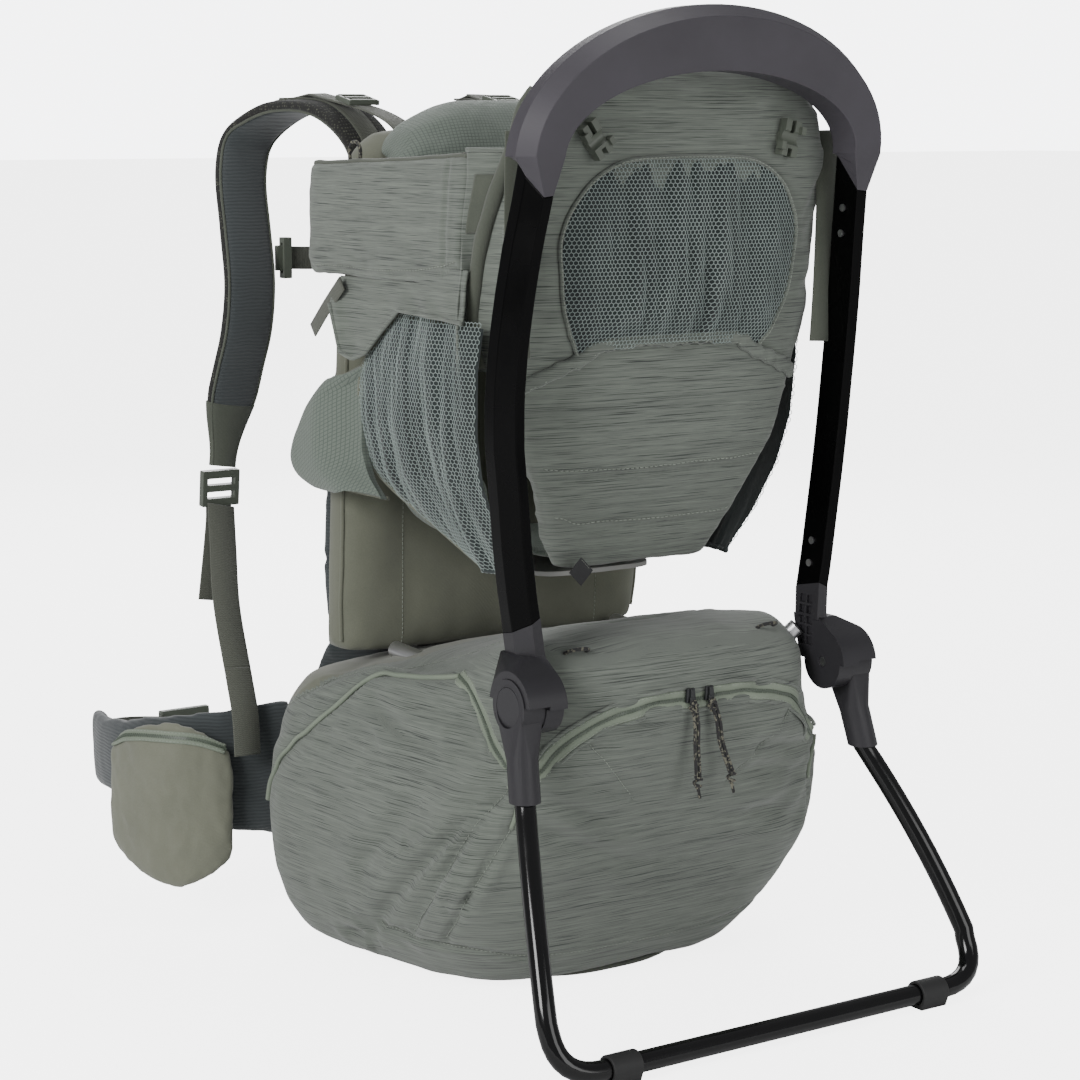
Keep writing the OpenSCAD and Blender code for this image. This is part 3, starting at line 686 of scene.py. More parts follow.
STEEL = Mat("steel", 0.3, 0, 1.0).colour((0.45, 0.45, 0.46)).m
ALLOY = Mat("alloy", 0.4, 0, 1.0).colour((0.6, 0.6, 0.61)).m
BOARD = plastic("board", (0.30, 0.30, 0.285), 0.6, 0.1)
# The sage cloth again, painted lighter: this extra brightness is painted light, standing in for the light
# that falls on the hip pocket.
SAGE_PAINTED_LIT = plain_cloth("pocket cloth", (0.128, 0.134, 0.098), (0.155, 0.161, 0.118))
TAG = plain_cloth("tag", (0.012, 0.012, 0.013), (0.02, 0.02, 0.021), 900, 0.1, 0.8)

# Look and edge radius in mm of each hard node, without its side
HARD = {
    "handle_arch": (ARCH, 1.2), "upright": (BLACK, 0.9), "frame_screws": (STEEL, 0.3),
    "hinge_housing": (HOUSING, 1.0), "leg_socket": (HOUSING, 0.9), "pivot_pins": (STEEL, 0.3),
    "pivot_caps": (HOUSING, 0.6), "stand_tube": (STEELBLACK, 0), "stand_feet": (RUBBER, 0.8),
    "side_rails": (ALLOY, 0), "back_frame": (ALLOY, 0), "seat_board": (BOARD, 0.5),
    "shade_clip": (BUCKLE, 0.7), "strap_lock": (BUCKLE, 0.8), "sternum_sliders": (BUCKLE, 0.8),
    "sternum_buckle_female": (BUCKLE, 0.8), "sternum_buckle_male": (BUCKLE, 0.8),
    "sternum_webbing": (WEB, 0.3), "harness_buckle": (DARK, 0.8), "hip_buckle_female": (BUCKLE, 1.0),
    "hip_buckle_male": (BUCKLE, 1.0), "cord_loops": (CORD, 0), "bag_base_panel": (HEATHER, 0.8),
    "care_tag": (TAG, 0.3), "load_lifter": (WEB, 0),
}
for name, o in NODES.items():
    material, width = HARD.get(name.replace("_left", "").replace("_right", ""), (HEATHER, 0))
    o.data.materials.clear()
    o.data.materials.append(material)
    finish_hard(o, width)


# ---------- shared shapes for soft pieces ----------

def both(fn):
    for s, side in ((-1, "left"), (1, "right")):
        fn(s, side)


def flip(points, s):
    """Points given for the left side, mirrored for s = 1."""
    return [(p[0] if s < 0 else -p[0], p[1], p[2]) for p in points]


def step01(x, a, b):
    t = np.clip((x - a) / (b - a), 0, 1)
    return t * t * (3 - 2 * t)


def wrinkled(o, scale, depth, stretch=(1, 1, 1), where=None):
    """Soft uneven folds: noise stretched along an axis."""
    st = Vector(stretch)

    def f(p, n):
        q = Vector((p[0] * st.x, p[1] * st.y, p[2] * st.z)) / scale
        k = where(p) if where else 1.0
        return depth * k * noise.fractal(q, 0.7, 2.1, 3)

    push(o, f)


def beside(pos, nor, off, lift=0.0):
    """The line pos moved off mm sideways along the surface and lifted by lift mm."""
    return [p + unit(nor[i].cross(tangent(pos, i))) * (off * MM) + nor[i] * (lift * MM)
            for i, p in enumerate(pos)]


def bead(name, pos, nor, r, material, body, flat=1.0):
    """Round piping of radius r mm along pos; flat scales its height."""
    return sweep(name, pos, nor, circle(r, 8, r * flat), material, body)


def zip_on(name, tree, points, body, w=14.0, lift=0.6):
    """Zip tape with two raised woven sides and a row of interlocked teeth."""
    pos, nor = lay(tree, points, lift, 3)
    section = [(-w / 2, -0.6), (w / 2, -0.6), (w / 2, 0.3), (w / 2 - 0.8, 0.9), (1.5, 1.1), (1.1, 0.6),
               (-1.1, 0.6), (-1.5, 1.1), (-w / 2 + 0.8, 0.9), (-w / 2, 0.3)]
    base = sweep(name, pos, nor, section, TAPE, body)
    pitch = 1.15
    parts = []
    run = 0.0
    for i in range(1, len(pos)):
        seg = pos[i] - pos[i - 1]
        length = seg.length
        while run < length:
            p = pos[i - 1].lerp(pos[i], run / length)
            n = unit(nor[i - 1].lerp(nor[i], run / length))
            t = unit(seg)
            s = t.cross(n)
            off = 0.45 if len(parts) % 2 else -0.45
            turn = Matrix((s, t, n)).transposed()
            parts.append(box_data((p + n * (1.0 * MM) + s * (off * MM)) / MM, (1.15, 0.42, 0.5), turn))
            run += pitch * MM
        run -= length
    many(name + "_teeth", parts, TEETH, body, False)
    for e, end in ((1, "a"), (-1, "b")):
        edge = beside(pos, nor, e * (w / 2 - 1.2), 0.9)
        stitch_rows(name + "_stitch_" + end, [(edge, nor)], THREAD, body, 3.4, 2.3, 0.3)
    return base


def cord(name, points, r, body):
    """A braided cord: a core with two wound strands standing proud."""
    path = spline(points, 1.6)
    ref = Vector((0.3, -1, 0.1))
    fr = frames_along(path, ref)
    parts = [sweep_data(path, ref, circle(r, 8))]
    for ph in (0.0, math.pi):
        for sgn in (1, -1):
            strand = []
            run = 0.0
            for i, (p, t, s, n) in enumerate(fr):
                if i:
                    run += (path[i] - path[i - 1]).length / MM
                a = ph + sgn * run * 1.5
                strand.append(p + (s * math.cos(a) + n * math.sin(a)) * (r * 0.72 * MM))
            parts.append(sweep_data(strand, ref, circle(r * 0.42, 5)))
    return many(name, parts, CORD, body)


def knot(c, r, seed):
    """A small lump of wound cord."""
    rnd = random.Random(seed)
    steps, turns = 33, 2.5
    pts = []
    for i in range(steps + 1):
        a = i / steps * 2 * math.pi * turns
        b = i / steps * math.pi
        pts.append((c[0] + r * math.cos(a) * math.sin(b * 0.9 + 0.15) + rnd.uniform(-.2, .2),
                    c[1] + r * math.sin(a) * math.sin(b * 0.9 + 0.15), c[2] + r * 1.5 * math.cos(b)))
    path = [V(p) for p in pts]
    return sweep_data(path, Vector((0.2, 0.3, 1)), circle(1.3, 6))


def hex_mesh(name, surface, u_len, v_len, pitch, inside, body, yarn):
    """Open hexagonal net on surface(u mm, v mm); cells whose centre is inside(u, v) are kept."""
    verts, index, faces = [], {}, []
    rx = pitch / math.sqrt(3)
    rows = int(v_len / (1.5 * rx)) + 2
    cols = int(u_len / pitch) + 2
    for j in range(rows):
        for i in range(-cols, cols + 1):
            cu = i * pitch + (pitch / 2 if j % 2 else 0)
            cv = j * 1.5 * rx
            if not inside(cu, cv):
                continue
            face = []
            for k in range(6):
                a = math.radians(60 * k + 30)
                u, v = cu + rx * math.cos(a), cv + rx * math.sin(a)
                key = (round(u * 8), round(v * 8))
                if key not in index:
                    index[key] = len(verts)
                    verts.append(surface(u, v))
                face.append(index[key])
            faces.append(face)
    o = new_object(name, verts, faces, MESH, None)
    m = o.modifiers.new("yarn", "WIREFRAME")
    m.thickness = yarn * MM
    m.use_even_offset = False
    m.use_boundary = True
    o = baked(o, name)
    o.data.polygons.foreach_set("use_smooth", [False] * len(o.data.polygons))
    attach(o, body)
    return o


def sheet(name, surface, us, vs, thick, material, body, flipn=False):
    """A thin closed cloth sheet over the grid us x vs of surface(u, v) -> metre point."""
    grid = [[surface(u, v) for u in us] for v in vs]
    nu, nv = len(us), len(vs)
    verts, uvs, nor = [], [], []
    for j in range(nv):
        for i in range(nu):
            du = grid[j][min(i + 1, nu - 1)] - grid[j][max(i - 1, 0)]
            dv = grid[min(j + 1, nv - 1)][i] - grid[max(j - 1, 0)][i]
            n = unit(du.cross(dv)) * (-1 if flipn else 1)
            nor.append(n)
            verts.append(grid[j][i])
            uvs.append((us[i] * MM, vs[j] * MM))
    back = [v - n * (thick * MM) for v, n in zip(verts, nor)]
    total = nu * nv
    faces = []
    for j in range(nv - 1):
        for i in range(nu - 1):
            a, b, c, d = j * nu + i, j * nu + i + 1, (j + 1) * nu + i + 1, (j + 1) * nu + i
            faces.append((a, b, c, d))
            faces.append((d + total, c + total, b + total, a + total))
    for i in range(nu - 1):
        faces.append((i + total, i + 1 + total, i + 1, i))
        k = (nv - 1) * nu + i
        faces.append((k, k + 1, k + 1 + total, k + total))
    for j in range(nv - 1):
        a, b = j * nu, (j + 1) * nu
        faces.append((a, b, b + total, a + total))
        a, b = j * nu + nu - 1, (j + 1) * nu + nu - 1
        faces.append((a + total, b + total, b, a))
    o = new_object(name, verts + back, faces, material, body, uvs + uvs)
    bm = bmesh.new()
    bm.from_mesh(o.data)
    bmesh.ops.recalc_face_normals(bm, faces=bm.faces)
    bm.to_mesh(o.data)
    bm.free()
    return o


# ---------- bag ----------

# Seams of the left half, in mm
SIDE = [(-194, 128, 118), (-194, 110, 146), (-192, 90, 167), (-182, 46, 203), (-166, 22, 227), (-157, 3, 242),
        (-153, -24, 249), (-147, -66, 254), (-141, -99, 259), (-141, -114, 253), (-143, -134, 237),
        (-147, -158, 217), (-147, -180, 202)]
MAIN = [(-139, -190, 193), (-130, -200, 200), (-119, -208, 217), (-99, -220, 233), (-74, -225, 242),
        (-41, -225, 246), (0, -226, 246)]
D1 = [(-149, -182, 184), (-161, -161, 158), (-174, -119, 97), (-170, -75, 50)]
D2 = [(-142, -188, 180), (-145, -182, 155), (-156, -166, 123), (-163, -138, 82), (-160, -109, 49)]
FOOT = [(-172, -30, 46), (-167, -69, 44), (-146, -125, 42), (-106, -141, 33), (-50, -148, 28), (0, -149, 28)]
DART = [(-98, -218, 222), (-75, -212, 198), (-45, -202, 167)]
BACKSEAM = [(-186, 108, 205), (-176, 80, 218), (-170, 66, 227), (-158, 30, 244), (-147, -18, 263),
            (-126, -62, 278), (-105, -102, 289), (-66, -131, 295), (0, -146, 296)]
# Folds of the bag's cloth: width and depth in mm, then the line
FOLDS = [
    (7, 4.0, [(-151, -177, 190), (-160, -161, 175), (-170, -132, 155), (-178, -91, 139)]),
    (9, 6.0, [(-153, -172, 178), (-168, -146, 152), (-178, -112, 120), (-181, -64, 78), (-170, -10, 30)]),
    (7, 4.5, [(-154, -170, 168), (-168, -145, 132), (-177, -117, 100), (-175, -83, 64), (-169, -56, 42)]),
    (9, 3.0, [(-186, -20, 90), (-186, -50, 120), (-180, -90, 150)]),
    (6, 4.0, [(-172, 20, 26), (-176, -20, 30), (-172, -52, 40)]),
    (8, 2.6, [(-164, -9, 225), (-168, -57, 211), (-163, -112, 203)]),
    (5, 2.6, [(-162, -144, 89), (-160, -160, 116), (-153, -172, 146)]),
    (7, 3.0, [(-131, -196, 181), (-104, -200, 167), (-64, -195, 150)]),
    (9, 2.6, [(-129, -191, 156), (-93, -189, 136), (-47, -182, 116), (0, -176, 104)]),
    (5, 2.4, [(-86, -216, 218), (-62, -208, 196), (-40, -202, 176)]),
    (8, 3.0, [(132, -196, 187), (100, -208, 190), (60, -215, 200)]),
    (9, 3.2, [(134, -191, 160), (96, -203, 170), (50, -205, 176)]),
    (9, 3.0, [(140, -180, 120), (97, -189, 134), (40, -190, 140)]),
    (7, 2.4, [(-192, 110, 149), (-191, 74, 173), (-184, 38, 193)]),
    (8, 2.4, [(-187, 74, 189), (-185, 25, 186), (-180, -20, 190)])]


def bag_form(co):
    """Fuller front corners, a raised rim above them and a lower top behind it."""
    x, y, z = co.T.copy()
    x = x * (1 + 0.035 * step01(y, -70, -160) * step01(z, 240, 170) * step01(z, 30, 110))
    top = np.exp(-((np.abs(x) - 116) / 26) ** 2 - ((y + 180) / 45) ** 2) * step01(z, 238, 262)
    drop = 24 * step01(y, -155, -35) * step01(z, 240, 282)
    return np.stack([x * (1 + 0.05 * top), y, z + 11 * top - drop], 1)


def crease(o, lines):
    """Soft folds: a valley with a raised lip on each side, fading out at both ends."""
    centres, info = [], []
    for width, depth, line in lines:
        pts = spline(line, 4)
        for i, p in enumerate(pts):
            t = i / (len(pts) - 1)
            centres.append(p)
            info.append((width, depth * math.sin(math.pi * min(1.0, 0.12 + 0.88 * t)) ** 0.6))
    kd = kd_tree(centres)

    def f(p, n):
        _, i, d = kd.find(Vector(p) * MM)
        width, depth = info[i][0] * 1.25, info[i][1]
        d = d / MM
        lip = 0.55 * math.exp(-((d - 1.7 * width) / width) ** 2)
        return 1.4 * depth * (lip - math.exp(-(d / (0.6 * width)) ** 2))

    push(o, f)


def shaped(o, fn):
    """Replaces the vertices, an array in mm, by fn of them."""
    set_coords(o, fn(coords(o) / MM) * MM)


def make_bag():
    """The padded bag with its folds, seams, piping and zips; returns its surface."""
    pins = [spline(flip(c, s)) for s in (-1, 1) for c in (SIDE, D1, D2, FOOT, BACKSEAM, MAIN)]
    o = puff("bag_body", "bag", HEATHER, voxel=7.5, pressure=3.0, cap=11, shrink=1.0, pins=pins, pin_r=5,
             hold=lambda c, n: c[2] < 6)
    shaped(o, bag_form)
    near = near_fn(pins)
    fold_centres = [Vector((-147, -183, 192)), Vector((147, -183, 192))]

    def folds(p, n):
        """Radiating creases that run from each front corner down the side and forward."""
        out = 1.1 * noise.fractal(Vector((p[0] / 60, p[1] / 60, p[2] / 45)), 0.7, 2.0, 3)
        for c in fold_centres:
            if p[0] * c.x < 0:
                continue
            d = Vector(p) - c
            r = d.length
            if not 6 <= r <= 210 or d.z > 40:
                continue
            ang = math.atan2(d.z, math.hypot(d.x, d.y) * (1 if d.y > 0 else -1))
            amp = 2.0 * math.exp(-((r - 75) / 60) ** 2)
            wave = math.sin(ang * 9.0 + 2.2 * noise.noise(Vector(p) / 70))
            out += amp * wave * (0.6 + 0.4 * noise.noise(Vector(p) / 40))
        k = min(1.0, near(Vector(p) * MM) / 14)
        return out * k

    push(o, folds)
    crease(o, FOLDS + [(w, d * 0.8, [(-x, y + 6, z) for x, y, z in line]) for w, d, line in FOLDS[:6]])
    groove(o, pins, 3.4, 3.8, 0.8)
    groove(o, [spline(flip(DART, s)) for s in (-1, 1)], 2.4, 2.0)
    o.data.materials.append(SAGE)
    # the sage back of the bag starts above this line in (y, z)
    back_edge = [(-18, 258), (0, 252), (30, 243), (66, 228), (80, 219), (108, 206), (148, 188)]
    for p in o.data.polygons:
        y, z = p.center.y / MM, p.center.z / MM
        if y > back_edge[0][0] and z > lerp_table(y, back_edge):
            p.material_index = 1
    settle(o, "bag_body")
    tree = tree_of(o)
    body = BODY["bag_body"]
    rows = []
    for s, side in ((-1, "left"), (1, "right")):
        pos, nor = lay(tree, flip(SIDE[:9], s), 1.2, 3)
        bead("bag_side_piping_" + side, pos, nor, 2.0, TAPE, body, 1.2)
        zip_on("bag_side_zip_" + side, tree, flip(SIDE[8:], s), body, 12.0, 1.0)
        tail, tn = lay(tree, flip([(-146, -184, 190), (-143, -187, 174), (-144, -181, 154)], s), 1.0, 1)
        bead("bag_corner_piping_" + side, tail, tn, 1.8, TAPE, body)
        rows += [lay(tree, flip(c, s), 0.3, 2) for c in (D1, D2, FOOT, BACKSEAM)]
        rows.append(lay(tree, flip(DART, s), 0.3, 1))
    full = MAIN + [(-x, y, z) for x, y, z in MAIN[-2::-1]]
    stands_for(zip_on("bag_zip_band", tree, full, body, 14.0, 1.2), "bag_zip")
    for lift, off, place in ((1.6, 8.6, "upper"), (1.2, -8.4, "lower")):
        pos, nor = lay(tree, full, lift, 3)
        bead("bag_zip_welt_" + place, beside(pos, nor, off), nor, 1.5, HEATHER, body, 0.8)
    stitch_rows("bag_seam_stitches", rows, THREAD, body, 3.6, 2.4, 0.28)
    return tree


BAG_TREE = make_bag()


def zip_pull(s, side):
    """A zip slider at x = 9 s mm with its pull: a knotted loop of two cords."""
    x = 9 * s
    body = "slider_" + side
    c = BAG_TREE.find_nearest(V(x, -228, 247))[0] / MM
    y = c.y - 3.6
    parts = [box_data((x, y, c.z), (4.6, 1.5, 5.6), None, 0.75),
             box_data((x, y - 1.8, c.z + 1.0), (1.7, 1.2, 4.2)),
             box_data((x, y - 2.6, c.z - 4.2), (2.6, 0.8, 3.0))]
    o = many("zip_slider_body_" + side, parts, DARK, body, False)
    bevel(o, 0.6)
    stands_for(o, "zip_slider_" + side)
    lean = 5 if s < 0 else 20
    swing = 2 if s < 0 else 5
    a = [(x - 1.4, y - 3.4, c.z - 4), (x + swing - 1, y - 4.5, c.z - 22), (x + lean * 0.4, y - 3.5, c.z - 40),
         (x + lean * 0.8, y - 2.5, c.z - 58), (x + lean, y - 1.8, c.z - 66)]
    b = [(q[0] + 3.0, q[1] - 0.6, q[2]) for q in a]
    cord("zip_cord_a_" + side, a, 1.35, body)
    cord("zip_cord_b_" + side, b, 1.35, body)
    end = a[-1]
    lumps = [knot((end[0] + 1.5, end[1], end[2] - 3), 3.2, 3), knot((x + 0.6, y - 3.6, c.z - 9), 3.0, 5)]
    many("zip_knot_" + side, lumps, CORD, body)
    loose = [(end[0] + 1, end[1], end[2] - 6), (end[0] + 3, end[1] - 1, end[2] - 16)]
    cord("zip_cord_end_" + side, loose, 1.3, body)


both(zip_pull)


# ---------- panels of the cockpit and the back ----------

def pressed_by_clips(c):
    """Keeps the padded panel behind the sunshade clips' base discs."""
    c = c.copy()
    for side in ("left", "right"):
        lo, hi = [Vector(v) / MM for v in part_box("shade_clip_" + side)]
        r = np.hypot(c[:, 0] - (lo.x + hi.x) / 2, c[:, 2] - (lo.z + hi.z) / 2)
        k = 1 - step01(r, 20, 46)
        c[:, 1] += k * np.clip(hi.y - 1.0 - c[:, 1], 0, None)
    return c


def seat_form(c):
    """Widens the panel towards its top and raises the middle of the top edge."""
    x, y, z = c.T
    wide = 1 + 0.08 * step01(z, 470, 540) + 0.04 * step01(z, 685, 712)
    rise = (9 + 12 * np.clip(1 - (x / 115) ** 2, 0, 1)) * step01(z, 650, 712)
    return np.stack([x * wide, y, z + rise], 1)


def seat_back():
    """The padded panel behind the child, with the pocket's binding; returns its surface."""
    rows = [[(-s * w, y, z) for s in (1, .5, 0, -.5, -1)] for w, y, z in ((108, -168, 415), (90, -153, 371))]
    pins = [spline(r) for r in rows]
    rim = [(-132, -172, 487), (-108, -184, 498), (-84, -188, 507), (-66, -190, 517), (-30, -191, 520),
           (0, -191, 519)]
    pins += [spline(flip(rim, s)) for s in (-1, 1)]
    o = puff("rear_seat_panel", "seat_back_panel", HEATHER, cap=7, pins=pins, pin_r=5)
    shaped(o, seat_form)
    wrinkled(o, 55, 1.6, (1, 1, 1.3))
    shaped(o, pressed_by_clips)
    groove(o, pins[:2], 2.6, 2.0)
    settle(o, "rear_seat_panel")
    tree = tree_of(o)
    body = BODY["rear_seat_panel"]
    stitches = []
    for r in rows:
        pos, nor = lay(tree, [(p[0], p[1] - 20, p[2]) for p in r], 0.3, 1)
        keep = [i for i, n in enumerate(nor) if n.y < -0.3]
        stitches.append(([pos[i] for i in keep], [nor[i] for i in keep]))
    full = rim + [(-x, y, z) for x, y, z in rim[-2::-1]]
    rnd = random.Random(4)
    pos, nor = lay(tree, full, 1.6, 2, 3.0)
    gathers = [(1 + 0.14 * math.sin(i * 1.3) + rnd.uniform(-.1, .1),
                1 + 0.7 * abs(math.sin(i * 0.9)) + rnd.uniform(-.2, .2)) for i in range(len(pos))]
    sweep("pocket_binding", pos, nor, strap_profile(11, 3.2, 1.2, 1.2), HEATHER, body, gathers)
    for e in (-3.6, 3.4):
        edge = [p + Vector((0, 0, e * MM)) + n * (1.4 * MM) for p, n in zip(pos, nor)]
        stitches.append((edge, nor))
    stitch_rows("seat_back_stitches", stitches, THREAD, body, 4.4, 3.0, 0.42)
    return tree


SEAT_TREE = seat_back()


def mesh_pocket():
    """The gathered net pocket on the seat panel, over a plain lining."""
    body = BODY["rear_mesh_pocket"]
    low, high = 508, 658
    # half width of the pocket by height
    table = [(low, 84), (520, 92), (545, 104), (585, 111), (612, 108), (632, 97), (646, 82), (655, 62),
             (high, 40)]
    ahead = Vector((0, 1, 0))

    def foot(x):
        return lerp_table(abs(x), [(0, 518), (62, 516), (84, 507)])

    def at(x, z, out):
        w = lerp_table(z, table)
        hit = SEAT_TREE.ray_cast(V(x, -330, z), ahead)[0]
        base = hit if hit is not None else V(x, -190, z)
        u = min(1.0, abs(x) / w)
        v = (z - low) / (high - low)
        bulge = 9.0 * (1 - u ** 2.4) * max(0.0, math.sin(math.pi * min(1, max(0, v)) ** 0.8)) ** 0.7
        fold = (5.2 * noise.noise(Vector((x / 15, v * 1.1, 0.3)))
                + 3.2 * noise.noise(Vector((x / 7 + v * 3, v * 2.2, 4.1))))
        fade = (1 - u ** 3) * min(1, 4 * max(0, v)) * (1.15 - 0.5 * v)
        return base + Vector((0, -(out + bulge + fold * fade) * MM, 0))

    def inside(u, v):
        return v < 149 and abs(u) < lerp_table(v + low, table) - 1.2 and v + low > foot(u)

    net = hex_mesh("pocket_net", lambda u, v: at(u, v + low, 1.4), 111, high - low, 3.4, inside, body, 0.7)
    stands_for(net, "rear_mesh_pocket")

    def lining(u, v):
        z = foot(u * 84) + (656 - foot(u * 84)) * v
        inset = at(u * (lerp_table(z, table) - 0.5), z, 0.2)
        return inset + Vector((0, 3.0 * MM * (1 - abs(u) ** 3), 0))

    # the lining's dark colour is partly painted shade behind the net
    sheet("pocket_lining", lining, np.linspace(-1, 1, 61), np.linspace(0, 1, 45), 0.5, TEAL_WITH_PAINTED_SHADE, body)
    rim = [(-w, -230, z) for z, w in table]
    pos, nor = [], []
    for q in spline(rim + [(0, -230, high + 1)] + [(-x, y, z) for x, y, z in rim[::-1]], 3.0):
        h = SEAT_TREE.ray_cast(Vector((q.x, -0.33, q.z)), ahead)
        if h[0] is not None:
            pos.append(h[0] + h[1] * (1.2 * MM))
            nor.append(h[1])
    bead("pocket_rim", pos, nor, 1.7, HEATHER, body)
    row = [p + n * (1.7 * MM) for p, n in zip(pos, nor)]
    stitch_rows("pocket_rim_stitches", [(row, nor)], THREAD, body, 3.6, 2.4, 0.3)


mesh_pocket()


def face_pad():
    o = puff("face_pad", "face_pad", GRID, voxel=4.0, shrink=1.0)

    def form(c):
        k = np.clip((np.abs(c[:, 0]) - 42) / 78, 0, 1.2)
        z = c[:, 2] - (2 + 33 * k ** 1.5) * step01(c[:, 2], 610, 692)
        return np.stack([c[:, 0] * (1 + 0.06 * step01(c[:, 2], 690, 640)), c[:, 1], z], 1)

    shaped(o, form)
    wrinkled(o, 40, 1.0)
    settle(o, "face_pad")


def band(s, side):
    """The padded band round the top of the cockpit, from the seat back to the back panel."""
    node = "cockpit_band_" + side
    body = BODY[node]
    x, end = s * 158, s * 156
    lines = [[(x, -148, 570), (x, -60, 565), (x, 40, 563), (end, 100, 563)],
             [(x, -148, 650), (x, -60, 650), (x, 40, 650), (end, 100, 650)],
             [(x, -128, 562), (x, -130, 608), (x, -131, 652)]]
    pins = [spline(c) for c in lines]
    o = puff(node, node, HEATHER, voxel=4.5, pressure=3.5, cap=4, shrink=1.0, pins=pins, pin_r=5)

    def form(c):
        x, y, z = c.T
        up = (6 - 8 * step01(y, -150, 100)) * step01(z, 600, 655)
        rear = 8 * step01(y, -90, -150) * step01(z, 610, 560)
        on = (19 + 9 * step01(z, 640, 575)) * step01(y, -90, -157)
        return np.stack([x, y + on, z + up + rear], 1)

    shaped(o, form)
    wrinkled(o, 45, 1.5, (1, 1, 1.8), lambda p: 0.4 + 0.6 * (p[2] < 590))
    hem = [(x, -122, 573), (x, -60, 565), (x, 40, 563), (end, 100, 563)]
    rear_seam = [(x, -106, 568), (x, -110, 608), (x, -112, 656)]
    tree = tree_of(o)
    laid = [lay(tree, [(p[0] + s * 8, p[1], p[2]) for p in c], 0.2, 2) for c in (hem, rear_seam)]
    groove(o, [pos for pos, nor in laid], 2.6, 1.6)
    settle(o, node)
    tree = tree_of(o)
    rows = [lay(tree, [(p[0] + s * 8, p[1], p[2] + 2.5) for p in hem], 0.25, 2)]
    stitch_rows("band_stitches_" + side, rows, THREAD, body, 4.0, 2.7, 0.34)
    top = [(s * 150, y, z + 3) for y, z in ((-134, 663), (-90, 661), (-30, 658), (40, 656), (100, 655))]
    pos, nor = lay(tree, top, 0.4, 2)
    bead("band_top_edge_" + side, pos, nor, 2.2, OLIVE, body, 1.1)


# Upper edge of the side net and the flap over it, as (y, z)
NET_TOP = [(-152, 534), (-110, 537), (-46, 540), (-20, 522), (-1, 504), (17, 498), (32, 503), (48, 528),
           (54, 540)]


def side_wall(s, side):
    """Loose net over a lining between the seat back and the leg opening."""
    node = "side_mesh_" + side
    body = BODY[node]
    low = 338
    # y of the net's two edges and its x, by height
    rear = [(low, -80), (372, -30), (388, 0), (401, 16), (420, 26), (448, 28), (469, 26), (488, 22), (505, 6),
            (525, -18), (545, -42)]
    front = [(low, -124), (372, -134), (410, -140), (450, -146), (500, -150), (545, -152)]
    xs = [(low, 108), (372, 128), (410, 147), (450, 156), (500, 158), (545, 152)]

    def at(t, z, out):
        y = lerp_table(z, front) * (1 - t) + lerp_table(z, rear) * t
        x = lerp_table(z, xs)
        arch = max(0.0, math.sin(math.pi * min(1, max(0, t))))
        v = (z - low) / 207
        gather = 1.0 - 0.45 * v
        fold = (7.0 * noise.noise(Vector((y / 14 + v * 1.5, v * 1.5, 2.0 + s)))
                + 4.0 * noise.noise(Vector((y / 6.5, v * 2.4, 7.0)))) * gather
        return V(s * (x + out + 6.0 * arch ** 0.8 + fold * arch ** 0.5 - 4), y, z)

    def net(u, v):
        z = low + v
        f, r = lerp_table(z, front), lerp_table(z, rear)
        return at((u - f) / (r - f), z, 1.6)

    def inside(u, v):
        z = low + v
        return z < lerp_table(u, NET_TOP) + 1 and lerp_table(z, front) + 1 < u < lerp_table(z, rear) - 1

    stands_for(hex_mesh("side_net_" + side, net, 200, 206, 3.6, inside, body, 0.72), node)
    # the lining's dark colour is partly painted shade behind the net
    sheet("side_lining_" + side, lambda t, z: at(t, z, -1.0), np.linspace(0, 1, 41),
          np.linspace(low, 532, 61), 0.6, TEAL_WITH_PAINTED_SHADE, body, s > 0)
    edge = [at(1.0, z, 0) for z in np.linspace(low, 545, 40)]
    bead("side_net_piping_" + side, edge, Vector((s * 0.8, 0.6, 0)).normalized(), 2.2, SAGE, body)
    edge = [at(t, low, 0) for t in np.linspace(0, 1, 20)]
    bead("side_net_hem_" + side, edge, Vector((s, 0, -0.5)).normalized(), 2.4, TEAL_WITH_PAINTED_SHADE, body)


def coons(bottom, top, front, back):
    """Surface in (y, z) between four edges given as lists of points."""
    curves = [spline([(p[0], p[1], 0) for p in e], 3) for e in (bottom, top, front, back)]

    def on(curve, t):
        x = t * (len(curve) - 1)
        i = min(int(x), len(curve) - 2)
        return curve[i].lerp(curve[i + 1], x - i) / MM

    def at(u, v):
        u, v = float(u), float(v)
        b, t, f, r = on(curves[0], u), on(curves[1], u), on(curves[2], v), on(curves[3], v)
        corner = ((1 - u) * (1 - v) * on(curves[0], 0) + u * (1 - v) * on(curves[0], 1)
                  + (1 - u) * v * on(curves[1], 0) + u * v * on(curves[1], 1))
        return b * (1 - v) + t * v + f * (1 - u) + r * u - corner

    return at


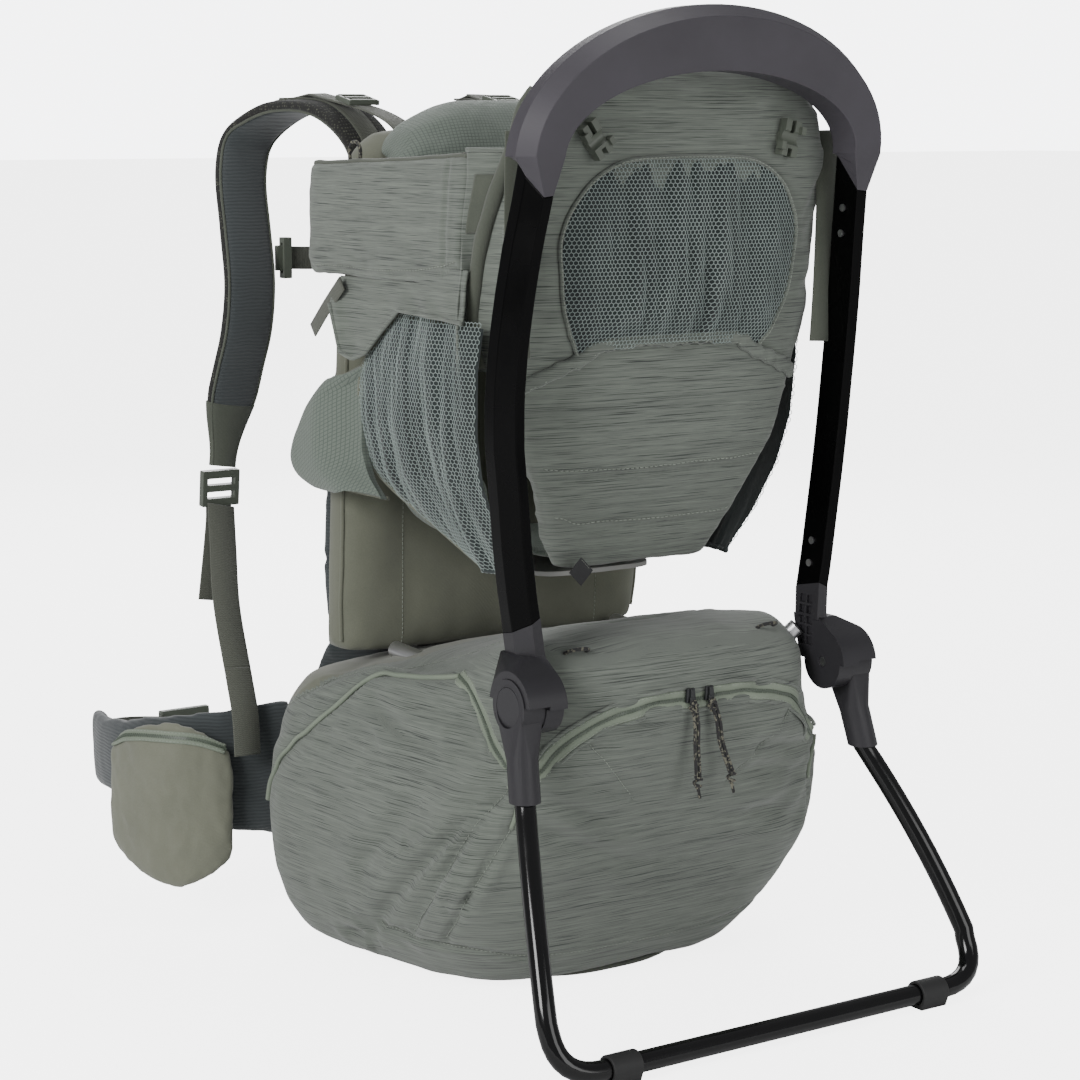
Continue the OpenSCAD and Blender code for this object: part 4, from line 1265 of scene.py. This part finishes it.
def leg_wing(s, side):
    """A padded flap that comes out from behind the net and wraps the pack's edge."""
    node = "seat_wing_" + side
    flat = coons([(-6, 386), (30, 391), (60, 393), (84, 395)],
                 [(1, 503), (22, 492), (45, 479), (75, 455), (99, 424)],
                 [(-6, 386), (12, 402), (21, 420), (23, 448), (21, 469), (17, 488), (1, 503)],
                 [(84, 395), (97, 402), (101, 412), (99, 424)])

    def at(u, v):
        p = flat(u, v)
        out = step01(u, 0.0, 0.5)
        crown = max(0.0, math.sin(math.pi * (0.04 + 0.92 * v))) ** 0.6
        x = (147 + (16 + 8 * crown) * out + 1.6 * noise.noise(Vector((p[0] / 30, p[1] / 22, 3.0 + s)))
             - 5 * step01(u, 0.85, 1.0) * (1 - crown * 0.6))
        return V(s * x, p[0], p[1])

    us, vs = np.linspace(0, 1, 60), np.linspace(0, 1, 50)
    o = sheet("leg_wing_" + side, at, us, vs, 6.5, GRID, BODY[node], s > 0)
    bevel(o, 2.6, 3, 40)
    stands_for(o, node)
    rim = [at(u, 0.0) for u in us] + [at(1.0, v) for v in vs[1:]] + [at(u, 1.0) for u in us[::-1]][1:]
    rim = [p - Vector((s * 2.2 * MM, 0, 0)) for p in rim]
    bead("leg_wing_seam_" + side, rim[2:-2], Vector((s, 0, 0)), 1.7, SAGE, BODY[node])


def saddle():
    o = puff("seat_saddle", "saddle", GRID, voxel=4.5, pressure=3.0, cap=5, shrink=1.0)
    wrinkled(o, 45, 1.0)
    settle(o, "seat_saddle")


def back():
    """The back panel and the wearer's padding on it."""
    pins = [spline([(s * 98, y, z) for y, z in line]) for line in
            (((49, 250), (48, 400), (49, 540)), ((112, 250), (100, 400), (98, 540))) for s in (-1, 1)]
    o = puff("back_panel", "back_panel", SAGE, voxel=8.0, pressure=3.0, cap=5, pins=pins)
    wrinkled(o, 80, 1.6, (1, 1, 0.6))
    groove(o, pins, 2.6, 1.8)
    settle(o, "back_panel")
    tree = tree_of(o)
    body = BODY["back_panel"]
    rows = [lay(tree, [q / MM for q in p[::6]], 0.25, 1) for p in pins]
    stitch_rows("back_panel_stitches", rows, THREAD, body, 3.8, 2.6, 0.3)
    for s, side in ((-1, "left"), (1, "right")):
        line = [(s * x, y, z) for x, y, z in
                ((160, 62, 256), (161, 60, 320), (160, 60, 400), (156, 60, 480), (152, 60, 540))]
        pos, nor = lay(tree, line, 0.6, 2)
        bead("back_panel_piping_" + side, pos, nor, 1.8, SAGE, body)
    seams = [spline([(-140, 121, z), (0, 121, z), (140, 121, z)]) for z in (320, 375, 430)]
    p = puff("back_padding", "back_padding", RIB, pressure=5.0, pins=seams)
    groove(p, seams, 3.5, 2.5)
    settle(p, "back_padding")

    def lumbar_seams(dy):
        return [spline([(x, 180 + dy, 80), (x * 0.9, 184, 150), (x, 166 + dy, 240)]) for x in (-60, 60)]

    q = puff("lumbar_pad", "lumbar_pad", RIB, pressure=5.0, cap=9, pins=lumbar_seams(0))
    groove(q, lumbar_seams(2), 3.5, 2.5)
    settle(q, "lumbar_pad")
    settle(puff("harness_yoke", "yoke", KNIT, voxel=4.0, cap=5, shrink=1.0), "harness_yoke")


face_pad()
both(band)
both(side_wall)
both(leg_wing)
saddle()
back()


# ---------- straps ----------

STRAP = [(-62, 146, 628), (-66, 158, 668), (-76, 196, 694), (-92, 248, 695), (-112, 280, 672),
         (-125, 276, 640), (-130, 260, 591), (-134, 246, 545), (-138, 246, 505), (-142, 256, 469),
         (-148, 266, 425), (-154, 266, 384)]
# Sections of the strap in mm; the negative side faces the wearer
PAD = [(-21.5, -1.5), (-21.2, -4.2), (-18, -6.4), (-9, -7.8), (0, -8.2), (9, -7.8), (18, -6.4), (21.2, -4.2),
       (21.5, -1.5), (0, -1.0)]
COVER = [(-21, -4.0), (0, -3.0), (21, -4.0), (23.6, -2.6), (24.6, 0.4), (23.6, 3.6), (20, 5.2), (10, 6.0),
         (0, 6.2), (-10, 6.0), (-20, 5.2), (-23.6, 3.6), (-24.6, 0.4), (-23.6, -2.6)]
CAP = [(-21.5, -4.2), (-16, -7.0), (0, -8.2), (16, -7.0), (21.5, -4.2), (24.4, -1), (24.4, 1.5), (21, 5.0),
       (0, 6.2), (-21, 5.0), (-24.4, 1.5), (-24.4, -1)]


def shoulder_strap(s, side):
    """Padding, knit cover, bound edges, olive lower end and the webbing on top."""
    node = "shoulder_strap_" + side
    body = BODY[node]
    path = spline(flip(STRAP, s), 5)
    refs = refs_across(path, X)
    run = [r / MM for r in lengths(path)]
    total = run[-1]
    wide = [(1 - 0.12 * math.exp(-(r / 40) ** 2) - 0.5 * float(step01(total - r, 72, 4)),
             1 - 0.45 * math.exp(-((total - r) / 45) ** 2) - 0.3 * math.exp(-(r / 30) ** 2)
             + 0.06 * math.sin(r / 11)) for r in run]
    o = sweep("strap_padding_" + side, path, refs, PAD, RIB, body, wide)
    subdivided(stands_for(o, node))
    subdivided(sweep("strap_cover_" + side, path, refs, COVER, KNIT, body, wide))
    fr = frames_along(path, refs)
    for e, place in ((1, "outer"), (-1, "inner")):
        edge = [p + sd * (e * 21.6 * wide[i][0] * MM) - n * (3.9 * wide[i][1] * MM)
                for i, (p, t, sd, n) in enumerate(fr)]
        bead("strap_binding_%s_%s" % (place, side), edge, refs, 1.3, OLIVE, body)
    cut = next(i for i, r in enumerate(run) if total - r < 58)
    cap = [(a * 1.06, b * 1.08) for a, b in CAP]
    bevel(sweep("strap_end_" + side, path[cut:], refs[cut:], cap, OLIVE, body, wide[cut:]), 1.0)
    mid = [p + n * (6.9 * wide[i][1] * MM) for i, (p, t, sd, n) in enumerate(fr)]
    sweep("strap_webbing_top_" + side, mid[4:-3], refs[4:-3], strap_profile(20, 1.8, 0.5), WEB, body)


def webbing_run(name, node, points, w, t, body, across=None, material=None):
    """Webbing along points whose width lies along across, x if not given."""
    path = spline(points, 5)
    o = sweep(name, path, refs_across(path, across or X), strap_profile(w, t, 0.6), material or WEB, body)
    return stands_for(o, node) if node else o


LOWER = [(-158, 262, 350), (-168, 240, 318), (-182, 208, 271), (-188, 176, 214), (-191, 160, 184),
         (-192, 155, 150)]


def lower_webbing(s, side):
    """Webbing from the shoulder strap to the belt, in two pieces so that each blends two bodies."""
    node = "strap_webbing_" + side
    path = [p / MM for p in spline(flip(LOWER, s), 5)]
    cut = next(i for i, p in enumerate(path) if p.z < 222)
    upper, end = path[:cut + 1], path[cut:]
    o = webbing_run("lower_webbing_" + side, node, upper, 25, 1.8, None)
    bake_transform(o)
    e = webbing_run("lower_webbing_end_" + side, None, end, 25, 1.8, None)
    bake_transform(e)
    tail = flip([(-157, 268, 352), (-152, 280, 335), (-154, 284, 300), (-160, 282, 262)], s)
    webbing_run("webbing_tail_" + side, None, tail, 24, 1.7, "harness")


both(shoulder_strap)
both(lower_webbing)


# ---------- hip belt ----------

def hip(s, side):
    """One half of the padded belt with its zipped pocket."""
    wing, pocket = "hip_wing_" + side, "hip_pocket_" + side
    o = puff(wing, wing, RIB, voxel=4.5, pressure=5.0, cap=7, shrink=1.0)
    wrinkled(o, 50, 1.0)
    settle(o, wing)
    # the pocket takes the sage cloth painted lighter, which is painted light
    p = puff(pocket, pocket, SAGE_PAINTED_LIT, voxel=4.5, pressure=6.0, cap=14, shrink=0.5)
    wrinkled(p, 34, 2.2, (1, 1, 0.8))
    settle(p, pocket)
    line = flip([(-206, 158, 160), (-230, 168, 166), (-254, 188, 168), (-272, 222, 166), (-280, 256, 161)], s)
    zip_on("pocket_zip_" + side, tree_of(p), line, BODY[pocket], 10.0, 0.8)


both(hip)


# ---------- child's harness, small webbing and loose ends ----------

def child_strap(s, side):
    """A padded strap of the child's harness with bound edges and its webbing."""
    node = "child_harness_" + side
    body = BODY[node]
    path = spline(flip([(-52, -170.5, 606), (-50, -167.5, 560), (-42, -162.5, 520), (-32, -158, 494)], s), 4)
    refs = [r if r.y > 0 else -r for r in refs_across(path, X)]
    pad = [(-16, -1.5), (16, -1.5), (17, 0.2), (14, 2.8), (7, 3.6), (0, 3.8), (-7, 3.6), (-14, 2.8),
           (-17, 0.2)]
    n = len(path)
    wide = [(1 - 0.25 * math.exp(-(i / 2.5) ** 2) - 0.25 * math.exp(-((n - 1 - i) / 2.5) ** 2), 1.0)
            for i in range(n)]
    o = sweep("child_strap_pad_" + side, path, refs, pad, KNIT, body, wide)
    subdivided(stands_for(o, node))
    fr = frames_along(path, refs)
    for e, end in ((1, "a"), (-1, "b")):
        edge = [p + sd * (e * 16.6 * wide[i][0] * MM) for i, (p, t, sd, up) in enumerate(fr)]
        bead("child_strap_binding_%s_%s" % (end, side), edge, refs, 1.6, OLIVE, body, 1.2)
    web = flip([(-53, -171, 603), (-54, -174, 622), (-55, -179, 640)], s)
    webbing_run("child_strap_web_" + side, None, web, 20, 1.6, body)


both(child_strap)
webbing_run("crotch_webbing", "crotch_strap",
            [(0, -102, 353), (0, -132, 372), (0, -145.5, 410), (0, -150, 445)], 25, 1.8, "pack")
webbing_run("sternum_webbing_left", "sternum_webbing", [(-93, 252, 566), (-64, 253.5, 565), (-36, 252, 566)],
            20, 1.6, "sternum", UP)
# this half shortens as the buckle's tongue comes out towards it
slack = webbing_run("sternum_webbing_right", None, [(19, 252, 566), (56, 253.5, 565), (93, 252, 566)],
                    20, 1.6, "sternum", UP)
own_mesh(slack)


def slider_hook(s, side):
    """The slider's lip, which holds the bound edge of the shoulder strap."""
    o = many("slider_hook_" + side, [box_data((s * 100, 252, 566), (5, 2.2, 11))],
             BUCKLE, BODY["sternum_sliders"], False)
    bevel(o)


both(slider_hook)


def lifter(s, side):
    """Load lifter webbing from the frame to the shoulder strap, with its ladder lock."""
    node = "load_lifter_" + side
    strap = BODY["shoulder_strap_" + side]
    pts = flip([(-69, 90, 676), (-70, 106, 685), (-72, 138, 694), (-76, 178, 701), (-82, 216, 707.5)], s)
    o = webbing_run("lifter_webbing_" + side, node, pts, 20, 1.8, None)
    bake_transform(o)
    turn = Matrix.Rotation(math.radians(12), 3, "X")
    c = Vector((s * 74, 160, 702))
    bars = [((0, dy, 0.8), (13, 1.7, 2.4)) for dy in (-10.5, 0, 10.5)]
    bars += [((dx, 0, 0.4), (1.9, 12.2, 2.2)) for dx in (-13, 13)]
    parts = [box_data(tuple(c + turn @ Vector(at)), half, turn) for at, half in bars]
    bevel(many("lifter_lock_" + side, parts, BUCKLE, strap, False))
    tail = flip([(-82, 216, 707), (-86, 236, 704), (-92, 252, 704)], s)
    webbing_run("lifter_end_" + side, None, tail, 20, 1.8, strap)


both(lifter)


def belt_tail(s, side, node, blocks):
    """Webbing at the end of a hip wing and its half of the buckle, made of (centre, half size) blocks."""
    body = BODY[node]
    pts = flip([(-229, 362, 126), (-208, 380, 124), (-182, 391, 120), (-156, 394, 116)], s)
    webbing_run("belt_webbing_" + side, None, pts, 36, 2.2, body, UP)
    o = many("belt_buckle_" + side, [box_data(c, half) for c, half in blocks], BUCKLE, body, False)
    bevel(o, 1.1, 3)
    stands_for(o, node)


belt_tail(-1, "left", "hip_buckle_female", [
    ((-131, 396, 116), (25, 1.3, 21)), ((-131, 401, 116), (25, 1.3, 21)), ((-131, 398.5, 96), (25, 3.6, 2.4)),
    ((-131, 398.5, 136), (25, 3.6, 2.4)), ((-152, 398.5, 116), (4, 3.6, 21))])
belt_tail(1, "right", "hip_buckle_male", [
    ((146, 398, 116), (11, 4.2, 21)), ((119, 398, 116), (14, 2.6, 5)), ((120, 398, 102), (13.5, 2.6, 2.2)),
    ((120, 398, 130), (13.5, 2.6, 2.2)), ((110, 398, 100.5), (4, 2.8, 3.6)),
    ((110, 398, 131.5), (4, 2.8, 3.6))])


def loops():
    """Cord loops: two on each side of the band and one on each top corner of the bag."""
    body = BODY["cord_loops"]
    places = ((149, 36, 657, 0, 8, 11), (149, -126, 650, 0, 8, 10), (92, -192, 289, 8.5, 1, 8))
    made = []
    for s, side in ((-1, "left"), (1, "right")):
        for k, (x, y, z, dx, dy, h) in enumerate(places):
            pts = [(x - dx, y - dy, z - 3), (x - dx * 1.05, y - dy * 1.05, z + h * 0.5),
                   (x - dx * 0.5, y - dy * 0.5, z + h), (x + dx * 0.5, y + dy * 0.5, z + h),
                   (x + dx * 1.05, y + dy * 1.05, z + h * 0.5), (x + dx, y + dy, z - 3)]
            if k == 2:
                # lean it out and move it onto the bag
                pts = [(p[0], p[1] - (p[2] - z) * 0.9, z + (p[2] - z) * 0.45) for p in pts]
                near = BAG_TREE.find_nearest(V(x if s > 0 else -x, y, z))[0] / MM
                pts = [(p[0], p[1] + near.y - y, p[2] + near.z - z) for p in pts]
            pts = flip([(-p[0], p[1], p[2]) for p in pts], s)
            made.append(cord("cord_loop_%d_%s" % (k, side), pts, 1.5, body))
    stands_for(made[0], "cord_loops")


loops()


def base_cloth():
    """The bag's flat base with a piped rim."""
    n = 64
    ring = []
    for i in range(n):
        a = 2 * math.pi * i / n
        px = math.copysign(abs(math.cos(a)) ** (2 / 3), math.cos(a))
        py = math.copysign(abs(math.sin(a)) ** (2 / 3), math.sin(a))
        t = (py + 1) / 2
        ring.append(Vector((px * (85 + 83 * t), -118 + 240 * t, 0)))
    levels = ((0.93, 0.0), (0.985, 0.0), (1.0, 1.2), (1.012, 3.0), (1.0, 4.4))
    verts = [Vector((p.x * k, 2 + (p.y - 2) * k, z)) * MM for k, z in levels for p in ring]
    faces = [(j * n + i, j * n + (i + 1) % n, (j + 1) * n + (i + 1) % n, (j + 1) * n + i)
             for j in range(4) for i in range(n)]
    faces.append(list(range(n))[::-1])
    faces.append([4 * n + i for i in range(n)])
    body = BODY["bag_base_panel"]
    stands_for(new_object("base_cloth", verts, faces, HEATHER, body), "bag_base_panel")
    rim = [Vector((p.x * 1.01, 2 + (p.y - 2) * 1.01, 3.4)) * MM for p in ring + ring[:1]]
    bead("base_piping", rim, UP, 1.5, OLIVE, body)


base_cloth()


def tag():
    """A plain square tab sewn on one corner."""
    body = BODY["care_tag"]
    c = Vector((-60, -152, 340))
    turn = Matrix.Rotation(math.radians(45), 3, "Y")
    o = many("tag_cloth", [box_data(tuple(c), (8, 0.5, 8), turn)], TAG, body, False)
    stands_for(bevel(o, 0.4), "care_tag")
    row = [V(tuple(c + turn @ Vector((-6.5 + i, -0.7, 6.6)))) for i in range(14)]
    stitch_rows("tag_stitches", [(row, [Vector((0, -1, 0))] * 14)], THREAD, body, 2.2, 1.4, 0.2)


tag()


# ---------- cloth between the cockpit's parts ----------

ROLL = [(-126, -186, 708), (-136, -183, 692), (-142, -181, 667), (-144, -168, 644), (-145, -155, 620),
        (-145, -143, 596), (-145, -135, 569), (-144, -129, 541), (-143, -130, 521), (-141, -134, 500)]
# Edge of the seat back as (z, y, half width)
SEAT_EDGE = [(484, -172, 131), (520, -173, 137), (600, -181, 138), (660, -191, 137), (694, -197, 123)]


def gusset(s, side):
    """Cloth that hangs from the band to the net and ends in a flap over the leg wing."""
    def at(u, v):
        y = -136 + 190 * u
        bottom = lerp_table(y, NET_TOP)
        top = 562 + 13 * float(step01(y, -60, -120))
        z = top + (bottom - top) * v
        k = math.sin(math.pi * min(1, v * 0.5 + 0.1))
        ripple = noise.noise(Vector((u * 9 + v * 1.5, v * 1.2, s * 3.0)))
        x = 153.0 + 6.0 * v + 6.5 * v * float(step01(y, -30, 25)) + k * 3.0 * ripple
        return V(s * x, y, z)

    sheet("side_gusset_" + side, at, np.linspace(0, 1, 90), np.linspace(0, 1, 26), 1.6, HEATHER, "pack",
          s > 0)
    hem = [at(u, 1.0) for u in np.linspace(0, 1, 70)]
    bead("gusset_hem_" + side, hem, Vector((s, 0, -0.3)).normalized(), 1.8, HEATHER, "pack")
    pts = flip([(-160, 88, 516), (-161.5, 62, 537), (-161, 38, 557)], s)
    webbing_run("wing_webbing_" + side, None, pts, 13, 1.6, "pack", Vector((0, 0.6, 0.8)))


def strip(s, side):
    """Cloth from the band's end past the padded roll to the seat back, with a hook patch on it."""
    xs, ys, zs = [list(c) for c in zip(*ROLL[::-1])]

    def at(t, z, lift=0.0):
        a = Vector((-154.5 - 3.5 * float(step01(z, 575, 545)), -130 - 8 * float(step01(z, 600, 650)), z))
        m = Vector((float(np.interp(z, zs, xs)) + 1, float(np.interp(z, zs, ys)) + 6, z))
        e = Vector((-lerp_table(z, [(r[0], r[2]) for r in SEAT_EDGE]) + 1, lerp_table(z, SEAT_EDGE) + 5, z))
        bow = 3.0 * noise.noise(Vector((t * 2.5, z / 60, 1.0 + s)))
        p = a.lerp(m, t * 2) if t < 0.5 else m.lerp(e, t * 2 - 1)
        p = p + Vector((-1, -0.4, 0)) * (lift + bow * math.sin(math.pi * t))
        return V(-s * p.x, p.y, p.z)

    sheet("edge_strip_" + side, at, np.linspace(0, 1, 25), np.linspace(498, 664, 60), 1.8, HEATHER, "pack",
          s > 0)
    sheet("hook_patch_" + side, lambda t, z: at(t, z, 1.8), np.linspace(0.14, 0.47, 9),
          np.linspace(602, 646, 16), 1.4, OLIVE, "pack", s > 0)
    top = [at(t, 664, 0.5) for t in np.linspace(0, 1, 16)]
    bead("edge_strip_hem_" + side, top, UP, 1.8, HEATHER, "pack")


def roll(s, side):
    """Padded edge beside the upright, with an olive binding."""
    path = spline(flip(ROLL, s), 5)
    n = len(path)
    thick = [(0.8 + 0.2 * math.sin(math.pi * min(1, max(0.02, i / (n - 1)))) + 0.05 * math.sin(i * 0.9),) * 2
             for i in range(n)]
    out = Vector((s * 0.8, -0.6, 0))
    sweep("edge_roll_" + side, path, out, circle(6.0, 14, 4.5), OLIVE, "pack", thick)
    seam = [p + Vector((s * 0.3, 0.9, 0)) * (5.2 * thick[i][0] * MM) for i, p in enumerate(path)]
    bead("edge_roll_seam_" + side, seam, out, 1.3, HEATHER, "pack")


def edge_tape(s, side):
    """Dark tape that closes the gap between the seat back and the upright."""
    pts = flip([(-146, -193, 678), (-147, -193, 624), (-146, -192, 560), (-144, -191, 512)], s)
    webbing_run("edge_tape_" + side, None, pts, 20, 1.6, "pack", Vector((1, -0.1, 0)), OLIVE)


both(gusset)
both(strip)
both(roll)
both(edge_tape)


# ---------- floor, light and camera ----------

FAR = 40  # metres, so that the floor's edge stays out of sight
floor = new_object("floor", [(-FAR, -FAR, 0), (FAR, -FAR, 0), (FAR, FAR, 0), (-FAR, FAR, 0)], [(0, 1, 2, 3)],
                   None, None)
fm = Mat("floor", 0.9)
fm.colour((0.9, 0.9, 0.9))
fm.b.inputs["Emission Color"].default_value = (1, 1, 1, 1)
glow = fm.n("MapRange", {"Value": fm.n("LightPath").outputs["Is Camera Ray"], "To Min": 0.0, "To Max": 4.2})
fm.put(fm.b.inputs["Emission Strength"], glow.outputs["Result"])
floor.data.materials.append(fm.m)


def area(name, loc, target, size, power):
    light = bpy.data.lights.new(name, "AREA")
    light.energy = power
    light.size = size
    o = bpy.data.objects.new(name, light)
    bpy.context.scene.collection.objects.link(o)
    o.location = loc
    d = Vector(target) - Vector(loc)
    o.rotation_euler = d.to_track_quat("-Z", "Y").to_euler()


area("key", (-2.6, -0.9, 1.5), (0, 0, 0.4), 1.1, 70)
area("fill", (0.5, -2.9, 1.0), (0, 0, 0.4), 1.6, 30)
area("top", (0.2, 0.1, 2.6), (0, 0, 0.4), 1.0, 16)
area("back", (1.2, 2.2, 1.6), (0, 0, 0.5), 1.4, 34)
world = bpy.data.worlds.new("studio")
world.use_nodes = True
wt = world.node_tree
back_node = wt.nodes["Background"]
back_node.inputs[0].default_value = (0.97, 0.98, 1.0, 1)
path_node = wt.nodes.new("ShaderNodeLightPath")
range_node = wt.nodes.new("ShaderNodeMapRange")
range_node.inputs["To Min"].default_value = 0.34
range_node.inputs["To Max"].default_value = 6.0
wt.links.new(path_node.outputs["Is Camera Ray"], range_node.inputs["Value"])
wt.links.new(range_node.outputs[0], back_node.inputs[1])
bpy.context.scene.world = world

cam = bpy.data.cameras.new("camera")
cam.lens = 88.33
cam.sensor_width = 36
camera = bpy.data.objects.new("camera", cam)
bpy.context.scene.collection.objects.link(camera)
camera.location = (-1.2217, -1.8110, 0.6871)
look = Vector((0.5537, 0.8178, -0.1572))
camera.rotation_euler = look.to_track_quat("-Z", "Y").to_euler()
bpy.context.scene.camera = camera
